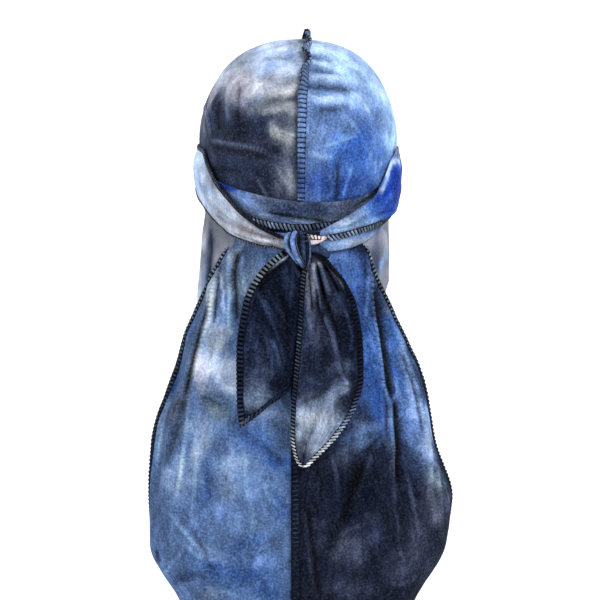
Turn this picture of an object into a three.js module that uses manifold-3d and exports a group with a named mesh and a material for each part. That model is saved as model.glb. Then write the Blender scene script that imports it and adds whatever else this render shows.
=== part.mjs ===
// A durag as it is worn and tied: a close crown in two halves, two ties that wrap the head
// and knot at the back, and a wide cape of two halves that hangs down behind.
// Millimetres, +Z up. The origin is the inner top of the crown. The wearer faces +Y, so the
// knot and the cape are on the -Y side, and +X is the wearer's right.

import * as THREE from "three";
import { mergeVertices } from "three/addons/utils/BufferGeometryUtils.js";
import Module from "manifold-3d";

// Driving dimensions of the head form that the crown fits
const headWidth = 153;
const headLength = 190;
const headTopRise = 78; // from the widest level up to the top
const headLowRise = 170; // how slowly the form narrows below the widest level

// Driving dimensions of the cloth
const cloth = 1.3;
const tieCloth = 1.5;
const seamCloth = 2;
const gap = 0.35;
const rimBack = 160; // depth of the crown's rim below the top, at the nape
const rimFront = 100; // the same at the forehead
const capeTop = 142; // depth of the cape's top edge below the crown's top
const capeLength = 348;
const capeCornerRise = 5; // how much higher the top edge lies at its two ends
const capeHalfWidth = 110;
const capeSeamX = -4.4; // the cape's centre seam hangs a little to the left
const seamAllowance = 6.5;

const wasm = await Module();
wasm.setup();

const radians = THREE.MathUtils.degToRad;
const lerp = THREE.MathUtils.lerp;
const smooth = THREE.MathUtils.smoothstep;

// Tables

// How deep each part of a tie lies. "first" and "second" nest round the head, "last" is outside.
const layer = { first: 1.3, second: 3.3, last: 5.5 };

// A tie's course: turn in degrees along its wrap, its two edges as shares of rimBack below the
// crown's top, its layer in mm above the crown, its thickness and its outward bulge in mm.
const leftTieCourse = [
  { turn: -125, top: 0.56, low: 0.66, lift: layer.first, thick: tieCloth, bulge: 0 },
  { turn: -90, top: 0.59, low: 0.72, lift: layer.first, thick: tieCloth, bulge: 0 },
  { turn: -60, top: 0.67, low: 0.8, lift: layer.first, thick: tieCloth, bulge: 0 },
  { turn: -30, top: 0.71, low: 0.83, lift: layer.first, thick: tieCloth, bulge: 0 },
  { turn: 0, top: 0.75, low: 0.85, lift: layer.first, thick: tieCloth, bulge: 0 },
  { turn: 35, top: 0.745, low: 0.83, lift: layer.first, thick: tieCloth, bulge: 0 },
  { turn: 60, top: 0.67, low: 0.8, lift: layer.first, thick: tieCloth, bulge: 0 },
  { turn: 90, top: 0.55, low: 0.75, lift: layer.first, thick: tieCloth, bulge: 0 },
  { turn: 130, top: 0.385, low: 0.55, lift: layer.first, thick: tieCloth, bulge: 0 },
  { turn: 155, top: 0.325, low: 0.455, lift: 2.4, thick: tieCloth, bulge: 0 },
  { turn: 180, top: 0.31, low: 0.445, lift: 3.6, thick: tieCloth, bulge: 0.4 },
  { turn: 205, top: 0.325, low: 0.455, lift: 4.8, thick: tieCloth, bulge: 0.8 },
  { turn: 230, top: 0.4, low: 0.56, lift: layer.last, thick: tieCloth, bulge: 0.6 },
  { turn: 270, top: 0.535, low: 0.745, lift: layer.last, thick: tieCloth, bulge: 0.4 },
  { turn: 286, top: 0.525, low: 0.815, lift: 5.6, thick: tieCloth, bulge: 0.8 },
  { turn: 298, top: 0.535, low: 0.848, lift: 6, thick: tieCloth, bulge: 1.4 },
  { turn: 307, top: 0.612, low: 0.87, lift: 6.5, thick: tieCloth, bulge: 1.8 },
  { turn: 314, top: 0.687, low: 0.885, lift: 6.7, thick: tieCloth, bulge: 1.7 },
  { turn: 331, top: 0.797, low: 0.918, lift: 7.2, thick: 2, bulge: 1.5 },
  { turn: 345, top: 0.858, low: 0.934, lift: 9, thick: 2.8, bulge: 1 },
  { turn: 354.4, top: 0.88, low: 0.938, lift: 14, thick: 3.4, bulge: 0.6 },
];
const rightTieCourse = [
  { turn: -125, top: 0.57, low: 0.67, lift: layer.second, thick: tieCloth, bulge: 0 },
  { turn: -90, top: 0.53, low: 0.76, lift: layer.second, thick: tieCloth, bulge: 0 },
  { turn: -65, top: 0.6, low: 0.81, lift: layer.second, thick: tieCloth, bulge: 0 },
  { turn: -54, top: 0.675, low: 0.825, lift: layer.second, thick: tieCloth, bulge: 0 },
  { turn: -38, top: 0.725, low: 0.84, lift: layer.second, thick: tieCloth, bulge: 0 },
  { turn: -18, top: 0.74, low: 0.858, lift: layer.second, thick: tieCloth, bulge: 0 },
  { turn: 0, top: 0.735, low: 0.868, lift: layer.second, thick: tieCloth, bulge: 0 },
  { turn: 30, top: 0.695, low: 0.84, lift: layer.second, thick: tieCloth, bulge: 0 },
  { turn: 60, top: 0.645, low: 0.81, lift: layer.second, thick: tieCloth, bulge: 0 },
  { turn: 90, top: 0.56, low: 0.73, lift: layer.second, thick: tieCloth, bulge: 0 },
  { turn: 130, top: 0.52, low: 0.67, lift: layer.second, thick: tieCloth, bulge: 0 },
  { turn: 155, top: 0.475, low: 0.625, lift: 3.8, thick: tieCloth, bulge: 0.3 },
  { turn: 180, top: 0.46, low: 0.6, lift: 4.4, thick: tieCloth, bulge: 0.6 },
  { turn: 205, top: 0.475, low: 0.625, lift: 5, thick: tieCloth, bulge: 0.9 },
  { turn: 230, top: 0.5, low: 0.69, lift: layer.last, thick: tieCloth, bulge: 0.6 },
  { turn: 270, top: 0.53, low: 0.835, lift: layer.last, thick: tieCloth, bulge: 0.6 },
  { turn: 297, top: 0.563, low: 0.872, lift: 5.9, thick: tieCloth, bulge: 1.4 },
  { turn: 308, top: 0.66, low: 0.894, lift: 6.3, thick: tieCloth, bulge: 1.8 },
  { turn: 320, top: 0.714, low: 0.922, lift: 6.6, thick: 1.6, bulge: 1.7 },
  { turn: 329, top: 0.775, low: 0.942, lift: 6.9, thick: 1.9, bulge: 1.5 },
  { turn: 340, top: 0.832, low: 0.95, lift: 7.4, thick: 2.3, bulge: 1.2 },
  { turn: 348.6, top: 0.855, low: 0.95, lift: 8.2, thick: 2.8, bulge: 0.8 },
];

// The cape level by level: depth as a share of its length, half widths as shares of
// capeHalfWidth, lean of the centre towards the back in mm, bow in mm (how far the cloth
// comes round), and the turn in degrees of its free edge.
const capeLevels = [
  { depth: 0, left: 0.43, right: 0.51, back: 91.4, bow: 91.6, turn: 44 },
  { depth: 0.035, left: 0.436, right: 0.513, back: 89.4, bow: 88, turn: 46 },
  { depth: 0.08, left: 0.511, right: 0.55, back: 92.6, bow: 78, turn: 50 },
  { depth: 0.184, left: 0.673, right: 0.7, back: 98.2, bow: 63, turn: 61 },
  { depth: 0.345, left: 0.868, right: 0.923, back: 103.6, bow: 50, turn: 75 },
  { depth: 0.47, left: 0.982, right: 0.997, back: 106.2, bow: 46, turn: 83 },
  { depth: 0.6, left: 1.005, right: 1.118, back: 107.5, bow: 46, turn: 93 },
  { depth: 0.7, left: 0.982, right: 1.055, back: 107.6, bow: 45, turn: 105 },
  { depth: 0.83, left: 0.76, right: 0.827, back: 106, bow: 38, turn: 116 },
  { depth: 1, left: 0.585, right: 0.64, back: 103, bow: 32, turn: 124 },
];

// Folds of one cape half: where each one runs (share of the way from the seam to the free
// edge, at its upper and lower end), between which depths, how far it stands out in mm
// (negative for a valley) and how wide it is.
const leftFolds = [
  { upper: 0.87, lower: 0.6, from: 0.06, to: 0.62, rise: 5, width: 0.075 },
  { upper: 0.97, lower: 0.78, from: 0.22, to: 0.66, rise: -5, width: 0.08 },
  { upper: 0.84, lower: 0.46, from: 0.04, to: 0.34, rise: 3.5, width: 0.06 },
  { upper: 0.74, lower: 0.62, from: 0.05, to: 0.24, rise: -3, width: 0.06 },
  { upper: 0.34, lower: 0.28, from: 0.06, to: 0.6, rise: 2.5, width: 0.09 },
  { upper: 0.3, lower: 0.38, from: 0.66, to: 1, rise: 5, width: 0.1 },
  { upper: 0.62, lower: 0.66, from: 0.74, to: 1, rise: -4, width: 0.1 },
];
const rightFolds = [
  { upper: 0.93, lower: 0.46, from: 0.03, to: 0.4, rise: 4, width: 0.07 },
  { upper: 0.9, lower: 0.42, from: 0.1, to: 0.66, rise: -5, width: 0.065 },
  { upper: 0.88, lower: 0.66, from: 0.24, to: 0.72, rise: 5, width: 0.085 },
  { upper: 0.34, lower: 0.18, from: 0.42, to: 0.76, rise: -4, width: 0.08 },
  { upper: 0.05, lower: 0.16, from: 0.55, to: 1, rise: 3, width: 0.07 },
  { upper: 0.44, lower: 0.5, from: 0.72, to: 1, rise: 5, width: 0.1 },
];

// The crown's broad wrinkles: where each one lies, as turn and fall in degrees, its half
// length and half width in mm, its slope in degrees and how far it stands out in mm.
const crownWrinkles = [
  { turn: 14, fall: 22, length: 15, width: 6, slope: 4, rise: 1.6 },
  { turn: 16, fall: 37, length: 20, width: 6, slope: -4, rise: 1.8 },
  { turn: 24, fall: 52, length: 22, width: 6, slope: 6, rise: 1.8 },
  { turn: 52, fall: 62, length: 26, width: 7, slope: 58, rise: 1.6 },
  { turn: -46, fall: 66, length: 24, width: 8, slope: -8, rise: 1.6 },
  { turn: -62, fall: 50, length: 22, width: 8, slope: -50, rise: 1.5 },
  { turn: -18, fall: 44, length: 18, width: 7, slope: 30, rise: 1.2 },
];

// The cloth that hangs from under the ties at each side of the neck: the turns between
// which it hangs, its length, how far it spreads and how its front corner is rounded off.
const sideFalls = {
  left: { side: -1, back: 50, front: 73, length: 108, spread: 12, rounding: 0.3 },
  right: { side: 1, back: 50, front: 64, length: 78, spread: 1.5, rounding: 0.3 },
};
const sideFallTop = 131;

// The hanging tie ends, row by row: share of the length, the two side edges in X, and how
// far back the cloth lies. Each fold starts at the knot and spreads towards the tip.
const leftEnd = {
  outerTop: 156.4,
  innerTop: 165,
  outerDrop: 133,
  innerDrop: 92,
  rows: [
    { share: 0, outer: -12, inner: -1, back: 102.4 },
    { share: 0.12, outer: -28, inner: -2, back: 103.5 },
    { share: 0.3, outer: -41.5, inner: -3, back: 108 },
    { share: 0.6, outer: -46, inner: -5, back: 113 },
    { share: 0.85, outer: -45.5, inner: -8, back: 115 },
    { share: 1, outer: -43.5, inner: -12, back: 115.5 },
  ],
  folds: [
    { across: 0.3, rise: 3, width: 0.12 },
    { across: 0.62, rise: -2.5, width: 0.12 },
    { across: 0.85, rise: 2, width: 0.1 },
  ],
};
const rightEnd = {
  outerTop: 164.3,
  innerTop: 164.3,
  outerDrop: 150,
  innerDrop: 150,
  rows: [
    { share: 0, outer: 4, inner: 21.5, back: 103.5 },
    { share: 0.08, outer: 2.5, inner: 30, back: 106.5 },
    { share: 0.2, outer: 1.5, inner: 40, back: 111 },
    { share: 0.4, outer: -0.5, inner: 47.5, back: 117 },
    { share: 0.56, outer: -2.5, inner: 48, back: 120 },
    { share: 0.7, outer: -4.5, inner: 42.5, back: 121.5 },
    { share: 0.84, outer: -5, inner: 29, back: 122 },
    { share: 0.95, outer: -1.5, inner: 13, back: 121.5 },
    { share: 1, outer: 3.2, inner: 5.2, back: 121 },
  ],
  folds: [
    { across: 0.16, rise: 2.5, width: 0.09 },
    { across: 0.36, rise: -3, width: 0.1 },
    { across: 0.58, rise: 3.5, width: 0.11 },
    { across: 0.82, rise: -2, width: 0.1 },
  ],
};

// The knot's turns of cloth, each an ellipsoid: centre and radii.
const knotLumps = [
  { x: 2.6, y: -102.6, z: -148, rx: 10, ry: 7.6, rz: 13.5 },
  { x: -2.5, y: -103, z: -148, rx: 5.2, ry: 9.6, rz: 15.2 },
  { x: 14.8, y: -103.6, z: -153, rx: 9.6, ry: 6.2, rz: 7.6 },
  { x: 12.6, y: -101.4, z: -141.4, rx: 8.4, ry: 4, rz: 4.6 },
  { x: 8, y: -103.4, z: -158.6, rx: 9, ry: 4.6, rz: 5.4 },
];

// Helpers

// A smooth curve through a table's rows that never overshoots between them.
function readTable(rows, key, column, at) {
  const last = rows.length - 1;
  const place = THREE.MathUtils.clamp(at, rows[0][key], rows[last][key]);
  let i = 0;
  while (i < last - 1 && place > rows[i + 1][key]) i += 1;
  const slopeOf = (k) => (rows[k + 1][column] - rows[k][column]) / (rows[k + 1][key] - rows[k][key]);
  const tangentAt = (k) => {
    if (k === 0) return slopeOf(0);
    if (k === last) return slopeOf(last - 1);
    const before = slopeOf(k - 1);
    const after = slopeOf(k);
    return before * after > 0 ? (2 * before * after) / (before + after) : 0;
  };
  const span = rows[i + 1][key] - rows[i][key];
  const t = (place - rows[i][key]) / span;
  const start = rows[i][column] * (1 + 2 * t) * (1 - t) ** 2 + tangentAt(i) * span * t * (1 - t) ** 2;
  const end = rows[i + 1][column] * t * t * (3 - 2 * t) - tangentAt(i + 1) * span * t * t * (1 - t);
  return start + end;
}

function bell(distance, width) {
  return Math.exp(-((distance / width) ** 2));
}

// A closed cloth solid: a grid of middle points with half the thickness to each side.
function sheetGeometry({ columns, rows, middle, thickness }) {
  const across = columns + 1;
  const count = across * (rows + 1);
  const middlePoints = [];
  for (let j = 0; j <= rows; j += 1) {
    for (let i = 0; i <= columns; i += 1) middlePoints.push(...middle(i / columns, j / rows).toArray());
  }
  const at = (i, j) => j * across + i;
  const face = [];
  for (let j = 0; j < rows; j += 1) {
    for (let i = 0; i < columns; i += 1) {
      face.push([at(i, j), at(i + 1, j), at(i + 1, j + 1)]);
      face.push([at(i, j), at(i + 1, j + 1), at(i, j + 1)]);
    }
  }
  const skin = new THREE.BufferGeometry();
  skin.setAttribute("position", new THREE.Float32BufferAttribute(middlePoints, 3));
  skin.setIndex(face.flat());
  skin.computeVertexNormals();
  const normals = skin.getAttribute("normal");
  const positions = [];
  for (const side of [0.5, -0.5]) {
    for (let k = 0; k < count; k += 1) {
      const reach = side * thickness((k % across) / columns, Math.floor(k / across) / rows);
      positions.push(
        middlePoints[3 * k] + reach * normals.getX(k),
        middlePoints[3 * k + 1] + reach * normals.getY(k),
        middlePoints[3 * k + 2] + reach * normals.getZ(k),
      );
    }
  }
  const border = [];
  for (let i = 0; i < columns; i += 1) border.push(at(i, 0));
  for (let j = 0; j < rows; j += 1) border.push(at(columns, j));
  for (let i = columns; i > 0; i -= 1) border.push(at(i, rows));
  for (let j = rows; j > 0; j -= 1) border.push(at(0, j));
  const index = [];
  for (const [a, b, c] of face) index.push([a, b, c], [a + count, c + count, b + count]);
  border.forEach((a, k) => {
    const b = border[(k + 1) % border.length];
    index.push([a, a + count, b + count], [a, b + count, b]);
  });
  const solid = new THREE.BufferGeometry();
  solid.setAttribute("position", new THREE.Float32BufferAttribute(positions, 3));
  solid.setIndex(index.flat());
  solid.computeVertexNormals();
  return solid;
}

function toManifold(geometry) {
  const bare = geometry.clone();
  bare.deleteAttribute("normal");
  bare.deleteAttribute("uv");
  const merged = mergeVertices(bare);
  const mesh = new wasm.Mesh({
    numProp: 3,
    vertProperties: new Float32Array(merged.getAttribute("position").array),
    triVerts: new Uint32Array(merged.getIndex().array),
  });
  return new wasm.Manifold(mesh);
}

function toGeometry(solid) {
  const mesh = solid.getMesh();
  const geometry = new THREE.BufferGeometry();
  geometry.setAttribute("position", new THREE.BufferAttribute(mesh.vertProperties, 3));
  geometry.setIndex(new THREE.BufferAttribute(mesh.triVerts, 1));
  geometry.computeVertexNormals();
  return geometry;
}

// The head form

// A point on the form, lifted off it along its normal. Turn 0 is the back and 90 is +X;
// fall is 0 at the top and 90 at the widest level.
function headPoint(turn, fall, lift) {
  const rise = fall < 90 ? headTopRise : headLowRise;
  const round = Math.sin(radians(fall));
  const point = new THREE.Vector3(
    (headWidth / 2) * round * Math.sin(radians(turn)),
    -(headLength / 2) * round * Math.cos(radians(turn)),
    rise * Math.cos(radians(fall)),
  );
  const normal = new THREE.Vector3(
    point.x / (headWidth / 2) ** 2,
    point.y / (headLength / 2) ** 2,
    point.z / rise ** 2,
  ).normalize();
  point.z -= headTopRise;
  return point.addScaledVector(normal, lift);
}

function fallAtDepth(depth) {
  const rise = depth < headTopRise ? headTopRise : headLowRise;
  return THREE.MathUtils.radToDeg(Math.acos((headTopRise - depth) / rise));
}

function rimFall(turn) {
  const middle = (rimBack + rimFront) / 2;
  return fallAtDepth(middle + ((rimBack - rimFront) / 2) * Math.cos(radians(turn)));
}

// The crown

// A point of the crown from its place on a disc: (0, 0) is the top, the rim is at radius 1,
// +across is +X and +along is the back. The seam line drifts a little to the right.
const seamDrift = 0.046;

function crownPoint(across, along, lift) {
  const drifted = across + seamDrift * (1 - Math.abs(across));
  const turn = THREE.MathUtils.radToDeg(Math.atan2(drifted, along));
  const fall = Math.hypot(drifted, along) * rimFall(turn);
  let height = lift;
  for (const wrinkle of crownWrinkles) height += wrinkleHeight(wrinkle, turn, fall);
  return headPoint(turn, fall, height);
}

function wrinkleHeight(wrinkle, turn, fall) {
  const perDegree = radians(headWidth / 2);
  const east = (turn - wrinkle.turn) * perDegree * Math.sin(radians(fall));
  const south = (fall - wrinkle.fall) * perDegree;
  const along = east * Math.cos(radians(wrinkle.slope)) + south * Math.sin(radians(wrinkle.slope));
  const over = south * Math.cos(radians(wrinkle.slope)) - east * Math.sin(radians(wrinkle.slope));
  return wrinkle.rise * bell(along, wrinkle.length) * bell(over, wrinkle.width);
}

function crownHalf(side) {
  const middle = (u, v) => {
    const s = u;
    const t = 2 * v - 1;
    const across = side * s * Math.sqrt(1 - (t * t) / 2);
    const along = t * Math.sqrt(1 - (s * s) / 2);
    const point = crownPoint(across, along, cloth / 2);
    point.x += (side * gap) / 2;
    return point;
  };
  return sheetGeometry({ columns: 12, rows: 24, middle, thickness: () => cloth });
}

// The seam allowance stands up over the top and lies flat to the left down the back.
const seamFront = -0.66;
const seamBack = 0.855;

function crownSeamPoint(share, along) {
  const fall = along * rimFall(along > 0 ? 0 : 180);
  const lean = along > 0 ? lerp(4, 78, smooth(fall, 8, 48)) : lerp(4, 38, smooth(-fall, 4, 40));
  const wave = along > 0 ? 10 * Math.sin(fall / 3.4) * bell(fall - 26, 16) : 0;
  const reach = share * seamAllowance;
  const sideways = reach * Math.sin(radians(lean + wave));
  const upward = reach * Math.cos(radians(lean + wave));
  const perShare = radians(rimFall(0)) * (headWidth / 2);
  const footLift = cloth + 2.4 * gap + (seamCloth / 2) * Math.sin(radians(lean));
  return crownPoint(-sideways / perShare, along, footLift + upward);
}

function crownSeam() {
  const middle = (u, v) => crownSeamPoint(u, lerp(seamFront, seamBack, v));
  return sheetGeometry({ columns: 2, rows: 30, middle, thickness: () => seamCloth });
}

// The ties

function tieColumn(course, column, turn) {
  return readTable(course, "turn", column, turn);
}

function tiePoint(course, side, share, turn) {
  const depth = rimBack * lerp(tieColumn(course, "top", turn), tieColumn(course, "low", turn), share);
  const bulge = tieColumn(course, "bulge", turn) * (1 - (2 * share - 1) ** 2);
  const lift = cloth + tieColumn(course, "lift", turn) + bulge;
  return headPoint(side * turn, fallAtDepth(depth), lift);
}

function tieBand(course, side) {
  const start = course[0].turn;
  const end = course[course.length - 1].turn;
  const turnAt = (v) => lerp(start, end, v);
  return sheetGeometry({
    columns: 4,
    rows: 67,
    middle: (u, v) => tiePoint(course, side, u, turnAt(v)),
    thickness: (u, v) => tieColumn(course, "thick", turnAt(v)),
  });
}

// The cape

function foldHeight(folds, across, depth) {
  let height = 0;
  for (const fold of folds) {
    const share = THREE.MathUtils.clamp((depth - fold.from) / (fold.to - fold.from), 0, 1);
    const fadeIn = smooth(depth, fold.from, fold.from + 0.11);
    const fadeOut = fold.to < 1 ? 1 - smooth(depth, fold.to - 0.12, fold.to + 0.06) : 1;
    const centre = lerp(fold.upper, fold.lower, share);
    height += fold.rise * fadeIn * fadeOut * bell(across - centre, fold.width);
  }
  return height;
}

// A point of one cape half. Across runs from the seam (0) to the free edge (1).
function capePoint(side, across, depth, lift) {
  const level = (column) => readTable(capeLevels, "depth", column, depth);
  const reach = capeHalfWidth * level(side > 0 ? "right" : "left");
  const edgeTurn = level("turn");
  const turn = radians(edgeTurn * across);
  const halfWidth = reach / Math.sin(radians(Math.min(edgeTurn, 90)));
  const bow = level("bow");
  const outX = bow * Math.sin(turn);
  const outY = -halfWidth * Math.cos(turn);
  const height = lift + foldHeight(side > 0 ? rightFolds : leftFolds, across, depth);
  const stretch = height / Math.hypot(outX, outY);
  return new THREE.Vector3(
    capeSeamX + side * (gap / 2 + halfWidth * Math.sin(turn) + outX * stretch),
    -level("back") + bow * (1 - Math.cos(turn)) + outY * stretch,
    -capeTop - capeLength * depth + capeCornerRise * across ** 2 * (1 - depth) ** 4,
  );
}

function capeHalf(side) {
  return sheetGeometry({
    columns: 18,
    rows: 20,
    middle: (u, v) => capePoint(side, u, v, 0),
    thickness: () => cloth,
  });
}

// The cape's seam allowance lies on its right half, from below the knot to the hem.
const capeSeamStart = 0.075;

function capeSeam() {
  const lift = cloth / 2 + gap + seamCloth / 2;
  const middle = (u, v) => {
    const depth = lerp(capeSeamStart, 0.995, v);
    const level = (column) => readTable(capeLevels, "depth", column, depth);
    const halfWidth = (capeHalfWidth * level("right")) / Math.sin(radians(Math.min(level("turn"), 90)));
    const span = halfWidth * radians(level("turn"));
    return capePoint(1, (u * seamAllowance) / span, depth, lift);
  };
  return sheetGeometry({ columns: 2, rows: 30, middle, thickness: () => seamCloth });
}

function sideFall({ side, back, front, length, spread, rounding }) {
  const middle = (u, v) => {
    const top = headPoint(side * lerp(back, front, u), fallAtDepth(sideFallTop), 2 * cloth);
    const drop = length * v * (1 - rounding * u * u);
    top.x += side * spread * v * lerp(0.4, 1, u);
    top.y += 5 * v * (1 - u) + 2.5 * Math.sin(radians(360 * u)) * smooth(v, 0.1, 0.6);
    top.z -= drop;
    return top;
  };
  return sheetGeometry({ columns: 6, rows: 10, middle, thickness: () => cloth });
}

// The knot and the tie ends

function knotGeometry() {
  let whole = null;
  for (const lump of knotLumps) {
    const ball = new THREE.SphereGeometry(1, 12, 8);
    ball.scale(lump.rx, lump.ry, lump.rz);
    ball.translate(lump.x, lump.y, lump.z);
    const solid = toManifold(ball);
    whole = whole ? whole.add(solid) : solid;
  }
  return toGeometry(whole);
}

function tieEnd({ outerTop, innerTop, outerDrop, innerDrop, rows, folds }) {
  const middle = (u, v) => {
    const row = (column) => readTable(rows, "share", column, v);
    let rise = 0;
    for (const fold of folds) rise += fold.rise * bell(u - fold.across, fold.width);
    const width = Math.abs(row("inner") - row("outer"));
    const open = smooth(v, 0.02, 0.3) * smooth(width, 4, 22);
    return new THREE.Vector3(
      lerp(row("outer"), row("inner"), u),
      -row("back") - rise * open,
      -lerp(outerTop, innerTop, u) - lerp(outerDrop, innerDrop, u) * v,
    );
  };
  return sheetGeometry({ columns: 9, rows: 13, middle, thickness: () => cloth });
}

// The assembly

function velvet(name, colour, sheen = 0.85) {
  const material = new THREE.MeshStandardMaterial({ color: colour, roughness: sheen, metalness: 0 });
  material.name = name;
  return material;
}

function piece(name, geometry, material) {
  const mesh = new THREE.Mesh(geometry, material);
  mesh.name = name;
  return mesh;
}

const durag = new THREE.Group();
durag.add(
  piece("crown_left", crownHalf(-1), velvet("velvet_pale_left", "#6d7486")),
  piece("crown_right", crownHalf(1), velvet("velvet_blue_right", "#3d5f9c")),
  piece("crown_seam", crownSeam(), velvet("seam_crown", "#8d93ac")),
  piece("side_fall_left", sideFall(sideFalls.left), velvet("reverse_left", "#77788a", 0.7)),
  piece("side_fall_right", sideFall(sideFalls.right), velvet("reverse_right", "#70718a", 0.7)),
  piece("cape_left", capeHalf(-1), velvet("velvet_cape_left", "#5a78b4")),
  piece("cape_right", capeHalf(1), velvet("velvet_cape_right", "#2b3f78")),
  piece("cape_seam", capeSeam(), velvet("seam_cape", "#44599a")),
  piece("tie_left", tieBand(leftTieCourse, 1), velvet("velvet_tie_left", "#8fa6cc")),
  piece("tie_right", tieBand(rightTieCourse, -1), velvet("velvet_tie_right", "#3559b0")),
  piece("knot", knotGeometry(), velvet("velvet_knot", "#26304d")),
  piece("tie_end_left", tieEnd(leftEnd), velvet("velvet_end_left", "#1e2438")),
  piece("tie_end_right", tieEnd(rightEnd), velvet("velvet_end_right", "#2a3044")),
);

export default durag;
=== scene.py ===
"""A tie-dyed velvet durag, worn and tied, seen from behind.

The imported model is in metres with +Z up. Its front is +Y, so the knot and the cape are on the
-Y side. Sizes below are in millimetres, as cloth is measured, and each finished mesh is written
in metres.
"""

import bpy
import numpy as np
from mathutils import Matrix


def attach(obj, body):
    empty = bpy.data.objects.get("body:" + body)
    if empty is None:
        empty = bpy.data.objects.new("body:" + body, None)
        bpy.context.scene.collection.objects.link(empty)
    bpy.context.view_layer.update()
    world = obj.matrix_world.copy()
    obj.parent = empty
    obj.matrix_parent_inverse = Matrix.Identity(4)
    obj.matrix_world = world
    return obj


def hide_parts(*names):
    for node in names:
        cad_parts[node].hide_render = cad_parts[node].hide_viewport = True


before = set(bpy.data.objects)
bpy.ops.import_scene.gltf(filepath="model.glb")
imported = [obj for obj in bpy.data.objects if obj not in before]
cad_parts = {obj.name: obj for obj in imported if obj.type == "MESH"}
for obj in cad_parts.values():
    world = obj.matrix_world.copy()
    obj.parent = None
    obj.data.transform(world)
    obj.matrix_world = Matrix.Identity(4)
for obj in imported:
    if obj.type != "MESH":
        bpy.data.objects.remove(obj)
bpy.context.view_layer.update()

MM = 0.001

# The camera stands behind, level with the top of the crown, and looks a little down.
CAMERA_TARGET = np.array([1.6, 0.0, -205.0])
CAMERA_DISTANCE = 1400
CAMERA_DROP = np.radians(8)
CAMERA_LENS = 105
CAMERA_SENSOR = 36
VIEW_SIZE = 600
VIEW_UNIT = CAMERA_SENSOR / CAMERA_LENS / VIEW_SIZE * CAMERA_DISTANCE

# The block: the rounded form over which the crown is fitted
HEAD_WIDTH = 153
HEAD_LENGTH = 190
HEAD_TOP_RISE = 78
HEAD_LOW_RISE = 170

# The cloth: its thicknesses and gaps, the crown's rims, the cape and the seam allowances
CLOTH = 1.3
TIE_CLOTH = 1.0
SEAM_CLOTH = 1.7
GAP = 0.1
SEAM_STANDOFF = 0.84
RIM_BACK = 160
RIM_FRONT = 100
CAPE_TOP = 142
CAPE_LENGTH = 348
CAPE_CORNER_RISE = 5
CAPE_HALF_WIDTH = 110
CAPE_SEAM_X = -4.4
SEAM_ALLOWANCE = 6.5
CAPE_ALLOWANCE = 4.6
SEAM_DRIFT = 0.046
SEAM_FRONT = -0.66
SEAM_BACK = 0.867
CAPE_SEAM_START = 0.075
CAPE_SEAM_STOP = 0.995
SIDE_FALL_TOP = 131

# The overlocking: how far apart its loops of thread are, how wide it is and how thick a thread
STITCH_PITCH = 3.6
STITCH_WIDTH = 4.0
THREAD = 0.5
SEAM_PITCH = 3.7

# The half width of a crest's painted highlight as a share of its crease's, and the narrowest one, in view
# units
CREST_SHARE = 0.55
CREST_LEAST = 1.8

# How far the layers of the ties lie above the crown
LAYER_FIRST = 0.9
LAYER_SECOND = 2.1
LAYER_LAST = 3.6

# How the crown's seam allowance leans over on its way to the back and to the front: its lean at
# the top and at the end, and the falls between which this changes, all in degrees
SEAM_LEAN_BACK = dict(lean=(6, 78), fall=(42, 66))
SEAM_LEAN_FRONT = dict(lean=(4, 38), fall=(4, 40))

# Its scallops at the back: how far they sway, how close they follow one another (in degrees of
# fall for each radian of their wave), and the fall round which they are strongest with their
# reach to either side
SEAM_WAVE = 24
SEAM_WAVE_STEP = 2.4
SEAM_WAVE_FALL = 34
SEAM_WAVE_REACH = 22

# The side falls: the turns, in degrees, between which they hang, how far their back edge is
# tucked in, how much their top edge slants, how far they swing forwards and wave, and how far
# their lower corner is rounded off
FALL_BACK = 34
FALL_FRONT = 64
FALL_TUCK = 5
FALL_SLANT = 8
FALL_SWING = 5
FALL_WAVE = 2.5
FALL_ROUNDING = 0.3

# The turns, in degrees, over which the last stretch of a tie begins and the one under it ends
LAST_STRETCH = (225, 245)
UNDER_STRETCH = (75, 100)

# The share of a tie's width over which its upper edge is tucked in
TUCK_WIDTH = 0.4

# How gently the cape's folds begin and end, as shares of its length
FOLD_START = 0.11
FOLD_STOP = (0.12, 0.06)

# Where the folds of a tie end open below the knot: between which shares of its length, and
# between which widths in mm
OPENING = (0.02, 0.3)
OPENING_WIDTH = (4, 22)

# How creases run: how far they drift, in view units, how bright and how uneven the painted
# highlight on their crests is, where they fade out towards the front, in mm, and the small dents
# between them (size and depth); then how dark the painted shade in their hollows is, and the
# gain, tint and brightest value of the painted highlight on their crests
CREASE_DRIFT = 1.3
CREST_HIGHLIGHT = 0.75
CREST_UNEVEN = 0.45
BACK_FADE = (-25, 5)
SMALL_DENTS = ((9, 0.25), (4, 0.12))
HOLLOW_SHADE = 0.9
HIGHLIGHT_GAIN = 1.3
HIGHLIGHT_TINT = np.array([0.27, 0.3, 0.34])
HIGHLIGHT_MOST = 0.94

# How the dye took: how its patches drift (size in mm, share of the drift, seed), how their rims
# fade, how uneven they are, and how much its clouds darken and whiten the cloth
PATCH_DRIFTS = ((24, 1, 0), (9, 0.5, 2), (4, 0.25, 8))
PATCH_RIM = 1.4
PATCH_UNEVEN = 0.3
CLOUD_DARK = 0.17
CLOUD_WHITE = 0.07

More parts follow.
